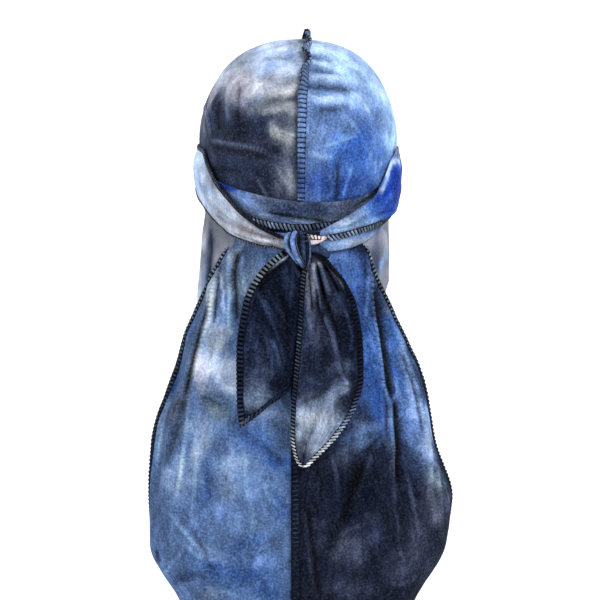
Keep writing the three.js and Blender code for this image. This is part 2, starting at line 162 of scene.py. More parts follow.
# A tie's course: turn in degrees along its wrap, its two edges as shares of RIM_BACK below the
# crown's top, how far it lies above the crown, how far its middle bulges and how far its upper
# edge is drawn in.
TIE_COLUMNS = ("turn", "top", "low", "lift", "bulge", "tuck")
LEFT_TIE = [
    (-125, 0.56, 0.66, LAYER_FIRST, 0, 0),
    (-90, 0.63, 0.73, LAYER_FIRST, 0, 0),
    (-60, 0.67, 0.8, LAYER_FIRST, 0, 0),
    (-30, 0.71, 0.83, LAYER_FIRST, 0, 0),
    (0, 0.75, 0.85, LAYER_FIRST, 0, 0),
    (35, 0.745, 0.83, LAYER_FIRST, 0, 0),
    (60, 0.67, 0.8, LAYER_FIRST, 0, 0),
    (90, 0.63, 0.75, LAYER_FIRST, 0, 0),
    (130, 0.385, 0.55, LAYER_FIRST, 0, 0),
    (155, 0.325, 0.455, 1.6, 0, 0),
    (180, 0.31, 0.445, 2.4, 0.4, 0),
    (205, 0.325, 0.455, 3.2, 0.8, 0),
    (230, 0.4, 0.56, LAYER_LAST, 0.6, 0),
    (262, 0.505, 0.69, 3.7, 0.4, 3),
    (280, 0.508, 0.745, 4.1, 1.2, 3.4),
    (294, 0.515, 0.782, 4.8, 1.8, 3),
    (302, 0.58, 0.82, 5.1, 1.8, 2),
    (311, 0.655, 0.863, 5.5, 1.8, 1),
    (320, 0.716, 0.9, 6, 1.6, 0.4),
    (333, 0.802, 0.926, 7, 1.5, 0),
    (345, 0.856, 0.938, 9, 1, 0),
    (354.4, 0.88, 0.938, 14, 0.6, 0),
]
RIGHT_TIE = [
    (-125, 0.57, 0.67, LAYER_SECOND, 0, 0),
    (-90, 0.62, 0.76, LAYER_SECOND, 0, 0),
    (-65, 0.63, 0.81, LAYER_SECOND, 0, 0),
    (-54, 0.675, 0.825, LAYER_SECOND, 0, 0),
    (-38, 0.725, 0.84, LAYER_SECOND, 0, 0),
    (-18, 0.74, 0.858, LAYER_SECOND, 0, 0),
    (0, 0.735, 0.868, LAYER_SECOND, 0, 0),
    (30, 0.695, 0.84, LAYER_SECOND, 0, 0),
    (60, 0.645, 0.81, LAYER_SECOND, 0, 0),
    (90, 0.62, 0.73, LAYER_SECOND, 0, 0),
    (130, 0.52, 0.67, LAYER_SECOND, 0, 0),
    (155, 0.475, 0.625, 2.6, 0.3, 0),
    (180, 0.46, 0.6, 3, 0.6, 0),
    (205, 0.475, 0.625, 3.4, 0.9, 0),
    (230, 0.5, 0.69, LAYER_LAST, 0.6, 0),
    (262, 0.515, 0.78, 3.7, 0.7, 2.8),
    (283, 0.518, 0.815, 4.3, 1.4, 3.2),
    (297, 0.56, 0.842, 5.1, 2, 2.4),
    (303, 0.612, 0.86, 5.2, 1.9, 1.6),
    (308, 0.66, 0.88, 5.4, 1.8, 1),
    (315, 0.724, 0.913, 5.7, 1.7, 0.5),
    (322, 0.752, 0.938, 6, 1.6, 0),
    (333, 0.8, 0.953, 6.8, 1.4, 0),
    (343, 0.838, 0.958, 7.6, 1, 0),
    (348.6, 0.862, 0.958, 8.2, 0.8, 0),
]

# The cape level by level: depth as a share of its length, half widths as shares of
# CAPE_HALF_WIDTH, lean of its centre to the back, bow, and the turn of its free edge.
CAPE_COLUMNS = ("depth", "left", "right", "back", "bow", "turn")
CAPE_LEVELS = [
    (0, 0.43, 0.51, 91.4, 91.6, 44),
    (0.035, 0.436, 0.513, 89.4, 88, 46),
    (0.08, 0.511, 0.55, 92.6, 78, 50),
    (0.184, 0.673, 0.7, 98.2, 63, 61),
    (0.345, 0.868, 0.923, 103.6, 50, 75),
    (0.47, 0.982, 0.997, 106.2, 46, 83),
    (0.6, 1.005, 1.118, 107.5, 46, 93),
    (0.7, 1.004, 1.085, 107.6, 45, 105),
    (0.83, 0.8, 0.86, 106, 38, 116),
    (1, 0.585, 0.64, 103, 32, 124),
]

# The cape's broad folds: where each runs between the seam (0) and the free edge (1) at its
# upper and lower end, the depths where it starts and stops, how far it stands out, how wide it is.
LEFT_FOLDS = [
    (0.87, 0.6, 0.06, 0.62, 5, 0.075),
    (0.97, 0.78, 0.22, 0.66, -5, 0.08),
    (0.84, 0.46, 0.04, 0.34, 3.5, 0.06),
    (0.74, 0.62, 0.05, 0.24, -3, 0.06),
    (0.34, 0.28, 0.06, 0.6, 2.5, 0.09),
    (0.3, 0.38, 0.66, 1, 5, 0.1),
    (0.62, 0.66, 0.74, 1, -4, 0.1),
]
RIGHT_FOLDS = [
    (0.93, 0.46, 0.03, 0.4, 4, 0.07),
    (0.9, 0.42, 0.1, 0.66, -5, 0.065),
    (0.88, 0.66, 0.24, 0.72, 5, 0.085),
    (0.34, 0.18, 0.42, 0.76, -4, 0.08),
    (0.05, 0.16, 0.55, 1, 3, 0.07),
    (0.44, 0.5, 0.72, 1, 5, 0.1),
]

# The crown's broad wrinkles: turn and fall in degrees, half length, half width, slope, rise
CROWN_WRINKLES = [
    (14, 22, 15, 6, 4, 1.6),
    (16, 37, 20, 6, -4, 1.8),
    (24, 52, 22, 6, 6, 1.8),
    (52, 62, 26, 7, 58, 1.6),
    (90, 38, 45, 29, 0, 3.2),
    (-90, 38, 45, 29, 0, 2.3),
    (-46, 66, 24, 8, -8, 1.6),
    (-62, 50, 22, 8, -50, 1.5),
    (-18, 44, 18, 7, 30, 1.2),
]

# The hanging tie ends, row by row: share of the length, the two side edges, how far back
END_COLUMNS = ("share", "outer", "inner", "back")
LEFT_END = dict(
    tops=(153.4, 164),
    drops=(131, 93),
    rows=[
        (0, -10.6, 2, 102.4),
        (0.12, -28, 5, 103.5),
        (0.3, -40, 6, 107.4),
        (0.6, -44.8, 5, 112),
        (0.85, -44.5, 0, 114.6),
        (1, -43, -8, 115.5),
    ],
    folds=[(0.3, 3, 0.12), (0.62, -2.5, 0.12), (0.85, 2, 0.1)],
)
RIGHT_END = dict(
    tops=(159, 159),
    drops=(155.3, 155.3),
    rows=[
        (0, 6.5, 20.5, 102.8),
        (0.05, 4, 26.5, 104.4),
        (0.11, 2.5, 34.5, 107),
        (0.22, 1.5, 43, 111),
        (0.41, -0.5, 47.5, 117),
        (0.56, -2.5, 48, 120),
        (0.7, -4.5, 42.5, 121.5),
        (0.84, -5, 29, 122),
        (0.95, -1.5, 13, 121.5),
        (1, 3.2, 5.2, 121),
    ],
    folds=[(0.16, 2.5, 0.09), (0.36, -3, 0.1), (0.58, 3.5, 0.11), (0.82, -2, 0.1)],
)

# The dye bath's colours, as they look in daylight; "rim" is the pale blue of the painted sheen at the
# crown's right edge
DYES = {
    "ice": "#c5dafb",
    "sky": "#abccf8",
    "rim": "#9cc3f7",
    "powder": "#87a5da",
    "steel": "#6883b1",
    "slate": "#5671a4",
    "cornflower": "#5f7cb4",
    "denim": "#4b648e",
    "royal": "#2f559f",
    "deep_royal": "#0b2f90",
    "cobalt": "#4061a0",
    "dark_royal": "#2c4684",
    "indigo": "#17306c",
    "ocean": "#2f4c82",
    "navy": "#131d38",
    "midnight": "#151a2a",
    "ink": "#080e1e",
    "charcoal": "#212b43",
    "storm": "#28344f",
    "dusk": "#46526b",
    "teal": "#62727f",
    "olive": "#757e87",
    "stone": "#aeb3b7",
    "cream": "#dde1e8",
    "pink_grey": "#969daf",
    "rose": "#c3bcc9",
    "pale_pink": "#e6d8de",
    "lavender": "#b7c7e0",
    "mist": "#8799b6",
    "taupe": "#7e828f",
    "plum": "#363c51",
    "ash": "#53586c",
    "white": "#ccd3e0",
    "black": "#05070c",
}

# Dye patches. Their places are on the view from behind, in its own units from its upper left,
# of which 600 make up its width. Each row gives the place, the two radii, the tilt in degrees
# (clockwise), the dye and how strongly it took.
# Some rows, marked where they stand, use a dye's colour for a painted highlight, sheen or shade.
CROWN_LEFT_DYE = [
    (258, 64, 58, 32, -20, "pink_grey", 0.95),
    (268, 48, 46, 18, -14, "ice", 0.85),
    (258, 54, 16, 3, -18, "powder", 0.4),
    (290, 64, 16, 12, 0, "ice", 0.75),
    (222, 80, 18, 11, -55, "ice", 0.85),
    (221, 80, 10, 7, -55, "cream", 0.6),
    (266, 64, 18, 5, -16, "powder", 0.6),
    (241, 66, 14, 7, -42, "olive", 0.5),
    (291, 58, 9, 4, 0, "powder", 0.6),
    (236, 88, 18, 13, -50, "rose", 0.5),
    (252, 84, 12, 8, -20, "cream", 0.45),
    (284, 89, 22, 8, -8, "cream", 0.75),
    (262, 101, 14, 10, -20, "olive", 0.7),
    (250, 96, 8, 7, -30, "dusk", 0.5),
    (268, 110, 8, 4, -24, "stone", 0.6),
    (256, 114, 9, 5, 30, "dusk", 0.7),
    (286, 106, 14, 8, 0, "stone", 0.8),
    (219, 116, 12, 26, 10, "storm", 0.85),
    (216, 122, 4, 20, 10, "midnight", 0.6),
    (230, 112, 3, 18, 5, "dusk", 0.55),
    (236, 116, 5, 14, 5, "midnight", 0.6),
    (240, 129, 19, 14, 0, "midnight", 0.9),
    (258, 126, 12, 14, -10, "charcoal", 0.8),
    (288, 128, 10, 18, 0, "olive", 0.75),
    (280, 134, 9, 5, 28, "stone", 0.9),
    (290, 138, 5, 6, 0, "stone", 0.35),
    (274, 122, 6, 5, -40, "taupe", 0.6),
    (270, 120, 5, 8, 30, "charcoal", 0.5),
    (284, 118, 8, 3, -10, "dusk", 0.5),
    (276, 151, 15, 5, 8, "midnight", 0.9),
    (290, 150, 7, 5, -20, "olive", 0.5),
    (228, 174, 32, 24, 0, "charcoal", 0.95),
    (212, 158, 10, 14, 0, "plum", 0.6),
    (262, 178, 17, 24, 0, "midnight", 0.8),
    (246, 166, 12, 10, 0, "storm", 0.5),
    (287, 178, 11, 15, -24, "olive", 0.55),
    (280, 166, 6, 7, 0, "dusk", 0.5),
    (276, 188, 6, 8, -20, "ash", 0.5),
    (293, 188, 5, 10, -10, "stone", 0.5),
    # Pale streaks along the left edge: pink-grey dye lightened as painted sheen where the crown turns away
    (210, 100, 4, 16, 16, "rose", 0.7),
    (201, 126, 3, 12, 0, "pink_grey", 0.6),
]
CROWN_RIGHT_DYE = [
    (340, 54, 54, 26, 12, "sky", 0.95),
    (326, 46, 24, 8, 8, "ice", 0.6),
    # Painted sheen where the crown turns away towards its right edge, in "rim"
    (374, 90, 22, 34, 30, "rim", 0.75),
    (376, 84, 7, 16, -30, "ice", 0.5),
    # Painted shade in the hollows of the wrinkles near the seam, as darker streaks
    (318, 58, 12, 2.6, 4, "cornflower", 0.6),
    (319, 70, 14, 3.2, 4, "cornflower", 0.75),
    (328, 88, 22, 4.2, 5, "slate", 0.85),
    # Painted highlight on the crest of the wrinkle below them
    (326, 100, 24, 4, 0, "sky", 0.7),
    (326, 117, 30, 12, 4, "slate", 0.97),
    (322, 114, 18, 8, 0, "denim", 0.8),
    (350, 106, 14, 9, 24, "powder", 0.6),
    (312, 136, 9, 7, 0, "steel", 0.5),
    (356, 156, 34, 36, -12, "royal", 0.95),
    (366, 138, 12, 16, 0, "deep_royal", 0.25),
    (342, 128, 16, 10, 10, "denim", 0.85),
    (318, 180, 26, 26, 0, "dark_royal", 0.92),
    (316, 164, 12, 8, 0, "denim", 0.5),
    (352, 190, 28, 16, -6, "indigo", 0.85),
    (338, 141, 18, 3, -16, "powder", 0.25),
    (321, 155, 11, 3, 10, "powder", 0.6),
    # Painted sheen along the crown's right edge, in "rim"
    (392, 126, 9, 60, -3, "rim", 0.97),
    (383, 172, 6, 18, 20, "rim", 0.75),
    (373, 120, 5, 26, -10, "cornflower", 0.5),
]
BAND_UNDER_DYE = [
    (228, 186, 13, 3, 24, "deep_royal", 0.97),
    (243, 199, 15, 8, 25, "cornflower", 0.95),
    (252, 205, 16, 6, 15, "powder", 0.35),
    (266, 214, 9, 4, 15, "steel", 0.8),
    (302, 208, 36, 9, 3, "storm", 0.97),
    (284, 213, 12, 5, 0, "navy", 0.7),
    (300, 226, 34, 4, 4, "slate", 0.7),
    (346, 206, 17, 10, -15, "plum", 0.7),
    (372, 192, 12, 5, -40, "ink", 0.95),
    (386, 176, 5, 9, 30, "ice", 0.8),
    (366, 196, 3, 2, -30, "stone", 0.8),
]
BAND_LEFT_DYE = [
    (198, 168, 14, 36, 0, "ice", 0.97),
    (197, 182, 5, 12, 0, "powder", 0.5),
    (212, 202, 16, 12, 42, "ice", 0.85),
    (206, 190, 6, 4, 40, "powder", 0.5),
    (230, 216, 18, 9, 38, "lavender", 0.95),
    (246, 228, 14, 5, 30, "rose", 0.8),
    (236, 212, 9, 3.5, 42, "taupe", 0.6),
    (266, 237, 20, 5, 16, "taupe", 0.7),
    (266, 230, 18, 3, 20, "dusk", 0.75),
    (238, 234, 14, 4, 32, "lavender", 0.7),
    (262, 241, 14, 2, 18, "white", 0.4),
]
BAND_RIGHT_DYE = [
    (394, 186, 22, 34, 22, "deep_royal", 0.99),
    (386, 204, 14, 14, -30, "deep_royal", 0.9),
    # Painted highlight along the tie's upper edge
    (391, 173, 3.2, 18, 30, "ice", 0.95),
    (380, 214, 6, 4, -24, "indigo", 0.7),
    (381, 190, 3, 5, 40, "stone", 0.7),
    (372, 208, 7, 8, -30, "royal", 0.7),
    (348, 217, 20, 9, -26, "dusk", 0.45),
    (341, 222, 12, 3, -24, "lavender", 0.45),
    (362, 212, 8, 3, -24, "powder", 0.3),
    (357, 241, 26, 5, -14, "pink_grey", 0.55),
    (330, 246, 14, 5, -8, "steel", 0.9),
    (396, 150, 4, 10, 0, "taupe", 0.75),
]
CAPE_LEFT_DYE = [
    (248, 264, 16, 30, 0, "storm", 0.5),
    (240, 290, 14, 22, 0, "teal", 0.7),
    (258, 270, 8, 20, 0, "teal", 0.5),
    (224, 262, 7, 18, 0, "mist", 0.85),
    # Painted highlight on a fold's crest
    (240, 256, 4, 14, 0, "white", 0.45),
    (234, 312, 8, 22, 0, "slate", 0.8),
    (206, 306, 8, 34, 12, "mist", 0.9),
    (212, 288, 4, 28, 10, "lavender", 0.6),
    # Painted highlight along the ridge of the fold by the stitched edge
    (227, 284, 2.5, 30, 1, "lavender", 0.6),
    (213, 352, 15, 28, 10, "lavender", 0.75),
    (220, 344, 7, 16, 20, "stone", 0.4),
    (208, 330, 6, 16, 14, "lavender", 0.5),
    (203, 374, 8, 16, 0, "rose", 0.7),
    (228, 378, 26, 14, 14, "lavender", 0.9),
    (170, 364, 8, 28, 20, "deep_royal", 0.95),
    (160, 420, 9, 34, 12, "powder", 0.6),
    (181, 408, 6, 26, 12, "ash", 0.7),
    (194, 450, 10, 30, 4, "mist", 0.8),
    (212, 412, 10, 16, -16, "teal", 0.75),
    (206, 402, 12, 5, 20, "dusk", 0.35),
    (236, 398, 14, 8, 0, "powder", 0.5),
    (262, 412, 28, 10, 14, "mist", 0.5),
    (250, 440, 22, 9, 20, "royal", 0.55),
    (234, 462, 20, 8, 10, "mist", 0.4),
    (278, 462, 24, 8, 34, "royal", 0.6),
    (202, 482, 8, 28, 0, "ocean", 0.7),
    (232, 480, 12, 18, 0, "mist", 0.4),
    (174, 476, 12, 24, 0, "mist", 0.45),
    (226, 512, 12, 12, 0, "cornflower", 0.5),
    (284, 506, 10, 14, 0, "ocean", 0.75),
    (250, 540, 22, 8, -10, "ocean", 0.7),
    (176, 530, 14, 12, 30, "slate", 0.5),
    (236, 572, 44, 18, 0, "ocean", 0.9),
    (216, 556, 12, 8, 0, "mist", 0.4),
    (262, 562, 10, 6, 0, "powder", 0.35),
    (151, 555, 3.5, 10, -25, "navy", 0.8),
    (188, 580, 12, 4, 10, "navy", 0.5),
    (272, 590, 22, 12, 0, "ocean", 0.7),
    (212, 592, 14, 5, 0, "mist", 0.45),
]
CAPE_RIGHT_DYE = [
    (338, 264, 24, 26, 0, "cobalt", 0.98),
    (336, 256, 12, 10, 0, "cornflower", 0.7),
    (352, 340, 24, 70, 0, "cobalt", 0.98),
    (384, 370, 26, 76, -14, "cobalt", 0.98),
    (412, 408, 24, 60, -18, "cornflower", 0.97),
    # Painted shade in the dark V between the tie end and the cape
    (360, 258, 4, 20, 0, "navy", 0.9),
    (353, 282, 5, 26, 12, "dark_royal", 0.6),
    # Painted shade at the top of the hollow to the right of the long ridge
    (378, 296, 8, 26, -16, "storm", 0.85),
    (388, 316, 9, 9, 0, "dusk", 0.7),
    # Painted highlight on the pale edge of the long ridge
    (371, 268, 4, 16, -10, "mist", 0.6),
    (374, 390, 12, 44, -6, "royal", 0.85),
    (362, 330, 6, 40, 4, "indigo", 0.5),
    # Painted highlight along the pale line of a fold's crest
    (388, 372, 2.4, 40, -6, "powder", 0.35),
    (392, 366, 5, 40, -16, "royal", 0.6),
    # Painted highlights along the crest of the long fold that runs down to the right, three rows
    (408, 378, 7, 38, -18, "powder", 0.8),
    (420, 420, 7, 34, -16, "powder", 0.7),
    (433, 446, 5, 26, -15, "powder", 0.6),
    (362, 440, 20, 12, 0, "denim", 0.8),
    (350, 452, 14, 7, -20, "dusk", 0.6),
    (404, 458, 13, 12, 0, "storm", 0.85),
    (388, 450, 8, 8, 0, "dusk", 0.6),
    (437, 480, 9, 18, -12, "teal", 0.85),
    (430, 508, 12, 22, -10, "ash", 0.9),
    (416, 530, 10, 22, -10, "plum", 0.6),
    (350, 500, 26, 24, 0, "ink", 0.9),
    (398, 496, 14, 20, 0, "midnight", 0.8),
    (318, 492, 12, 34, 0, "midnight", 0.6),
    (352, 550, 15, 20, 10, "plum", 0.85),
    (346, 548, 8, 12, 10, "ash", 0.4),
    (376, 536, 10, 12, 0, "charcoal", 0.8),
    (366, 522, 10, 6, -20, "plum", 0.5),
    (346, 586, 22, 8, 0, "plum", 0.7),
    (402, 566, 18, 14, 0, "plum", 0.85),
    (412, 546, 10, 14, 0, "ash", 0.4),
    (430, 560, 10, 20, 20, "plum", 0.6),
    # Painted highlight on the same fold's crest
    (431, 432, 5, 18, -14, "lavender", 0.6),
    (396, 372, 6, 30, -14, "ocean", 0.4),
]
END_LEFT_DYE = [
    (256, 396, 15, 14, 0, "mist", 0.7),
    (252, 380, 9, 12, 0, "dusk", 0.6),
    (264, 374, 12, 9, -20, "dusk", 0.5),
    (272, 350, 6, 22, -28, "storm", 0.6),
    (266, 308, 4, 22, -30, "charcoal", 0.8),
    (288, 280, 5, 20, 0, "storm", 0.6),
    (278, 398, 7, 7, 0, "dusk", 0.4),
    (281, 261, 10, 2.6, -40, "taupe", 0.85),
    (250, 340, 8, 30, 4, "storm", 0.55),
    (262, 362, 8, 12, 0, "dusk", 0.4),
    (247, 300, 5, 16, 20, "storm", 0.5),
    (280, 336, 4, 20, 0, "midnight", 0.5),
]
END_RIGHT_DYE = [
    (313, 330, 9, 50, -5, "charcoal", 0.8),
    (312, 288, 5.5, 26, 0, "taupe", 0.85),
    (310, 300, 4, 20, 0, "plum", 0.6),
    (318, 264, 4, 6, -20, "stone", 0.6),
    (336, 276, 5, 12, -35, "ash", 0.6),
    (322, 384, 24, 8, 8, "storm", 0.6),
    (314, 412, 26, 16, -16, "mist", 0.8),
    (334, 394, 14, 9, -30, "mist", 0.5),
    (344, 388, 8, 8, 30, "mist", 0.6),
    (312, 436, 19, 24, -12, "lavender", 0.7),
    (336, 428, 13, 17, 20, "mist", 0.9),
    (314, 418, 18, 9, -10, "stone", 0.6),
    (352, 340, 12, 60, 0, "ink", 0.97),
    (336, 330, 8, 24, 0, "ink", 0.8),
    (344, 368, 5, 10, -20, "dusk", 0.6),
    (314, 322, 7, 26, -4, "ash", 0.45),
    (327, 342, 4, 14, -20, "dusk", 0.5),
    (330, 370, 10, 6, -20, "dusk", 0.45),
    (303, 350, 5, 26, 0, "storm", 0.6),
    (342, 300, 4, 16, -20, "storm", 0.5),
    (320, 300, 3, 12, -10, "ink", 0.6),
]
FALL_LEFT_DYE = [
    (203, 238, 4, 18, 0, "taupe", 0.8),
    (210, 242, 4, 22, 0, "ash", 0.8),
    (200, 262, 4, 22, 2, "ice", 0.85),
    (212, 266, 4.5, 34, 2, "storm", 0.85),
    (206, 290, 3, 22, 3, "steel", 0.7),
    (197, 246, 2.5, 14, 0, "ash", 0.6),
    (199, 304, 7, 18, 0, "ice", 0.9),
]
FALL_RIGHT_DYE = [
    (378, 236, 9, 18, 0, "ash", 0.9),
    (388, 246, 4, 20, 0, "ash", 0.5),
    (385, 240, 5, 20, 0, "taupe", 0.8),
    (385, 262, 4, 12, 15, "powder", 0.85),
    (377, 262, 4, 14, 0, "storm", 0.8),
]

# Creases, on the same view: three points that the crease runs through, its half width in view
# units, how far it stands out in mm (negative for a hollow), and how much painted highlight its
# crest takes or, below 0, how much painted shade its hollow takes.
CROWN_LEFT_CREASES = [
    ((203, 139), (238, 145), (262, 150), 1.2, 0.9, 0.8),
    ((256, 148), (268, 152), (279, 158), 1.2, 0.9, 0.7),
    ((208, 147), (240, 152), (275, 159), 3.0, -0.9, -0.4),
    ((205, 101), (208, 120), (212, 140), 1.4, 0.8, 0.65),
    ((221, 98), (218, 114), (221, 134), 2.2, -0.8, -0.35),
    ((230, 82), (227, 100), (229, 124), 1.6, 0.6, 0.4),
    ((214, 94), (212, 114), (216, 136), 1.2, 0.6, 0.5),
    ((241, 86), (238, 104), (240, 128), 2.4, -0.7, -0.3),
    ((262, 60), (280, 57), (299, 61), 3.0, -0.6, -0.2),
    ((255, 96), (275, 84), (299, 80), 3.0, 0.8, 0.12),
    ((258, 108), (278, 99), (299, 100), 4.0, -0.8, -0.3),
    ((268, 120), (282, 131), (299, 136), 3.0, 0.7, 0.25),
    ((257, 176), (263, 188), (270, 201), 1.1, 0.5, 0.65),
    ((275, 164), (284, 178), (293, 195), 1.1, 0.5, 0.6),
    ((212, 166), (232, 172), (252, 172), 3.0, -0.6, -0.25),
]
CROWN_RIGHT_CREASES = [
    ((309, 50), (320, 51), (332, 55), 3.0, 1.1, 0.3),
    ((303, 57), (318, 58), (336, 61), 3.0, -1.0, -0.25),
    ((309, 63), (320, 64), (333, 67), 2.4, 0.8, 0.25),
    ((303, 69), (318, 70), (338, 74), 3.2, -1.0, -0.25),
    ((307, 79), (325, 78), (346, 82), 4.0, 1.2, 0.2),
    ((300, 87), (325, 87), (356, 92), 4.0, -1.5, -0.38),
    ((308, 98), (325, 99), (349, 97), 3.4, 1.4, 0.35),
    ((347, 90), (358, 99), (370, 116), 1.9, 0.8, 0.7),
    ((314, 109), (335, 109), (352, 105), 5.0, -1.0, -0.3),
    ((345, 117), (359, 133), (374, 168), 1.6, 0.5, 0.5),
    ((322, 146), (340, 141), (358, 134), 2.4, 0.8, 0.3),
    ((310, 151), (321, 155), (333, 160), 2.0, 0.7, 0.35),
    ((337, 160), (337, 185), (334, 206), 2.6, -1.0, -0.35),
    ((352, 163), (347, 182), (341, 202), 1.4, 0.6, 0.8),
    ((372, 133), (375, 155), (375, 178), 1.3, 0.4, 0.4),
    ((326, 170), (331, 185), (329, 200), 1.8, 0.5, 0.3),
]
BAND_UNDER_CREASES = [
    ((232, 196), (270, 208), (318, 213), 2.2, 0.5, 0.25),
    ((262, 211), (295, 216), (331, 223), 1.5, -0.9, -0.8),
    ((256, 213), (292, 220), (328, 227), 1.6, 0.6, 0.5),
    ((350, 208), (370, 196), (386, 178), 1.6, -0.6, -0.5),
]
BAND_LEFT_CREASES = [
    ((214, 214), (244, 236), (286, 245), 1.3, 1.1, 0.8),
    ((212, 209), (246, 231.5), (284, 240.5), 1.8, -0.6, -0.3),
    ((226, 229), (252, 240), (284, 247.4), 0.9, -0.5, -0.5),
    ((203, 186), (230, 216), (274, 236), 3.0, 0.7, 0.3),
    ((199, 178), (222, 212), (264, 236), 2.4, -0.6, -0.25),
    ((214, 184), (238, 212), (274, 230), 1.6, 0.4, 0.35),
]
BAND_RIGHT_CREASES = [
    ((400, 208), (363, 224), (318, 234), 1.3, 1.2, 0.6),
    ((404, 211), (363, 230), (312, 241), 3.0, -0.5, -1.1),
    ((396, 192), (366, 213), (334, 228), 3.0, 0.7, 0.3),
    ((399, 202), (385, 207), (370, 217), 1.1, 0.7, 0.6),
    ((393, 190), (386, 200), (378, 212), 1.0, 0.6, 0.5),
    ((386, 228), (360, 241), (325, 246), 1.8, 0.7, 0.4),
]
CAPE_LEFT_CREASES = [
    ((221, 258), (207, 322), (190, 400), 2.4, 2.1, 0.65),
    ((190, 388), (184, 448), (177, 500), 2.2, 1.7, 0.5),
    ((210, 292), (195, 350), (183, 404), 3.2, -2.0, -0.65),
    ((184, 390), (176, 430), (162, 468), 6.0, -2.0, -0.3),
    ((228, 244), (229, 290), (229, 338), 1.3, 1.0, 0.75),
    ((237, 248), (235, 284), (238, 326), 2.8, -1.2, -0.5),
    ((220, 256), (217, 290), (211, 330), 2.0, -1.0, -0.4),
    ((213, 262), (208, 300), (199, 340), 1.6, 0.9, 0.5),
    ((244, 252), (243, 275), (250, 300), 2.0, 0.8, 0.3),
    ((196, 312), (173, 380), (156, 440), 2.6, 1.0, 0.4),
    ((173, 394), (163, 430), (157, 472), 1.4, 0.5, 0.5),
    ((197, 440), (194, 484), (193, 532), 2.0, 0.8, 0.35),
    ((190, 524), (203, 550), (214, 574), 2.4, -0.7, -0.25),
    ((162, 506), (185, 532), (213, 566), 1.4, 0.6, 0.5),
    ((246, 450), (246, 480), (249, 504), 1.1, 0.4, 0.4),
    ((224, 470), (232, 480), (234, 498), 1.1, 0.4, 0.25),
    ((262, 480), (272, 500), (290, 512), 1.1, 0.4, 0.4),
    ((184, 540), (200, 556), (222, 562), 1.2, 0.5, 0.5),
    ((249, 502), (253, 530), (240, 558), 1.2, 0.4, 0.35),
    ((278, 398), (286, 410), (292, 426), 1.4, 0.5, 0.45),
    ((204, 586), (222, 590), (242, 596), 1.2, 0.5, 0.5),
    ((165, 574), (174, 562), (184, 550), 1.2, 0.4, 0.4),
    ((237, 430), (262, 446), (290, 470), 5.0, -1.2, -0.2),
    ((203, 320), (212, 330), (226, 325), 1.1, 0.5, 0.35),
    ((226, 340), (216, 354), (206, 372), 1.2, 0.5, 0.35),
    ((231, 352), (222, 366), (219, 388), 1.2, 0.5, 0.35),
    ((214, 376), (226, 386), (240, 388), 1.4, 0.5, 0.3),
    ((198, 396), (210, 400), (224, 408), 2.0, -0.6, -0.25),
]
CAPE_RIGHT_CREASES = [
    ((366, 244), (368, 285), (363, 330), 1.3, 1.0, 0.75),
    ((368, 254), (379, 345), (390, 412), 1.6, 1.6, 0.75),
    ((389, 400), (392, 458), (395, 512), 1.6, 1.4, 0.6),
    ((395, 506), (398, 536), (405, 566), 1.6, 1.1, 0.5),
    ((373, 280), (384, 346), (394, 408), 3.4, -1.8, -0.8),
    ((394, 392), (397, 440), (398, 490), 3.0, -1.5, -0.7),
    ((382, 330), (385, 380), (388, 440), 2.6, -1.0, -0.35),
    ((389, 318), (412, 376), (428, 442), 2.4, 1.4, 0.35),
    ((428, 440), (431, 470), (428, 502), 1.8, 0.8, 0.4),
    ((400, 346), (414, 392), (423, 442), 2.0, -0.8, -0.3),
    ((364, 462), (352, 495), (341, 530), 6.0, -2.4, -0.5),
    ((372, 450), (364, 476), (352, 506), 2.4, 1.4, 0.25),
    ((330, 452), (337, 488), (336, 526), 2.2, 1.4, 0.35),
    ((381, 434), (371, 446), (360, 452), 1.0, -0.4, -0.5),
    ((307, 500), (313, 552), (322, 606), 3.2, -1.5, -0.45),
    ((304, 506), (309, 546), (314, 596), 1.8, 0.9, 0.3),
    ((404, 466), (412, 500), (419, 536), 1.9, 1.1, 0.45),
    ((436, 468), (440, 490), (442, 516), 1.2, 0.5, 0.45),
    ((430, 474), (433, 496), (434, 522), 1.2, 0.5, 0.35),
    ((443, 478), (446, 498), (447, 516), 1.1, 0.4, 0.45),
    ((390, 582), (404, 583), (420, 572), 1.2, 0.5, 0.4),
    ((340, 538), (350, 529), (363, 527), 2.0, 0.7, 0.25),
]
END_LEFT_CREASES = [
    ((290, 253), (276, 265), (265, 273), 1.4, 1.0, 0.5),
    ((286, 262), (268, 276), (256, 292), 3.0, -1.4, -0.7),
    ((291, 255), (294, 267), (301, 281), 2.2, 1.6, 0.35),
    ((297, 258), (300, 268), (303, 281), 2.2, -1.8, -0.97),
    ((254, 288), (272, 325), (290, 374), 1.4, 0.9, 0.4),
    ((262, 284), (278, 310), (293, 332), 1.2, 0.6, 0.3),
    ((278, 286), (286, 320), (288, 362), 2.4, -1.0, -0.5),
    ((292, 262), (292, 284), (290, 310), 1.6, 0.8, 0.35),
    ((247, 340), (245, 378), (244, 408), 1.3, 0.6, 0.3),
    ((248, 398), (262, 394), (278, 400), 1.6, 0.5, 0.25),
    ((262, 330), (270, 356), (272, 384), 1.2, 0.5, 0.3),
    ((267, 338), (276, 350), (279, 368), 1.0, 0.5, 0.45),
    ((269, 294), (276, 308), (287, 316), 1.0, 0.5, 0.35),
]
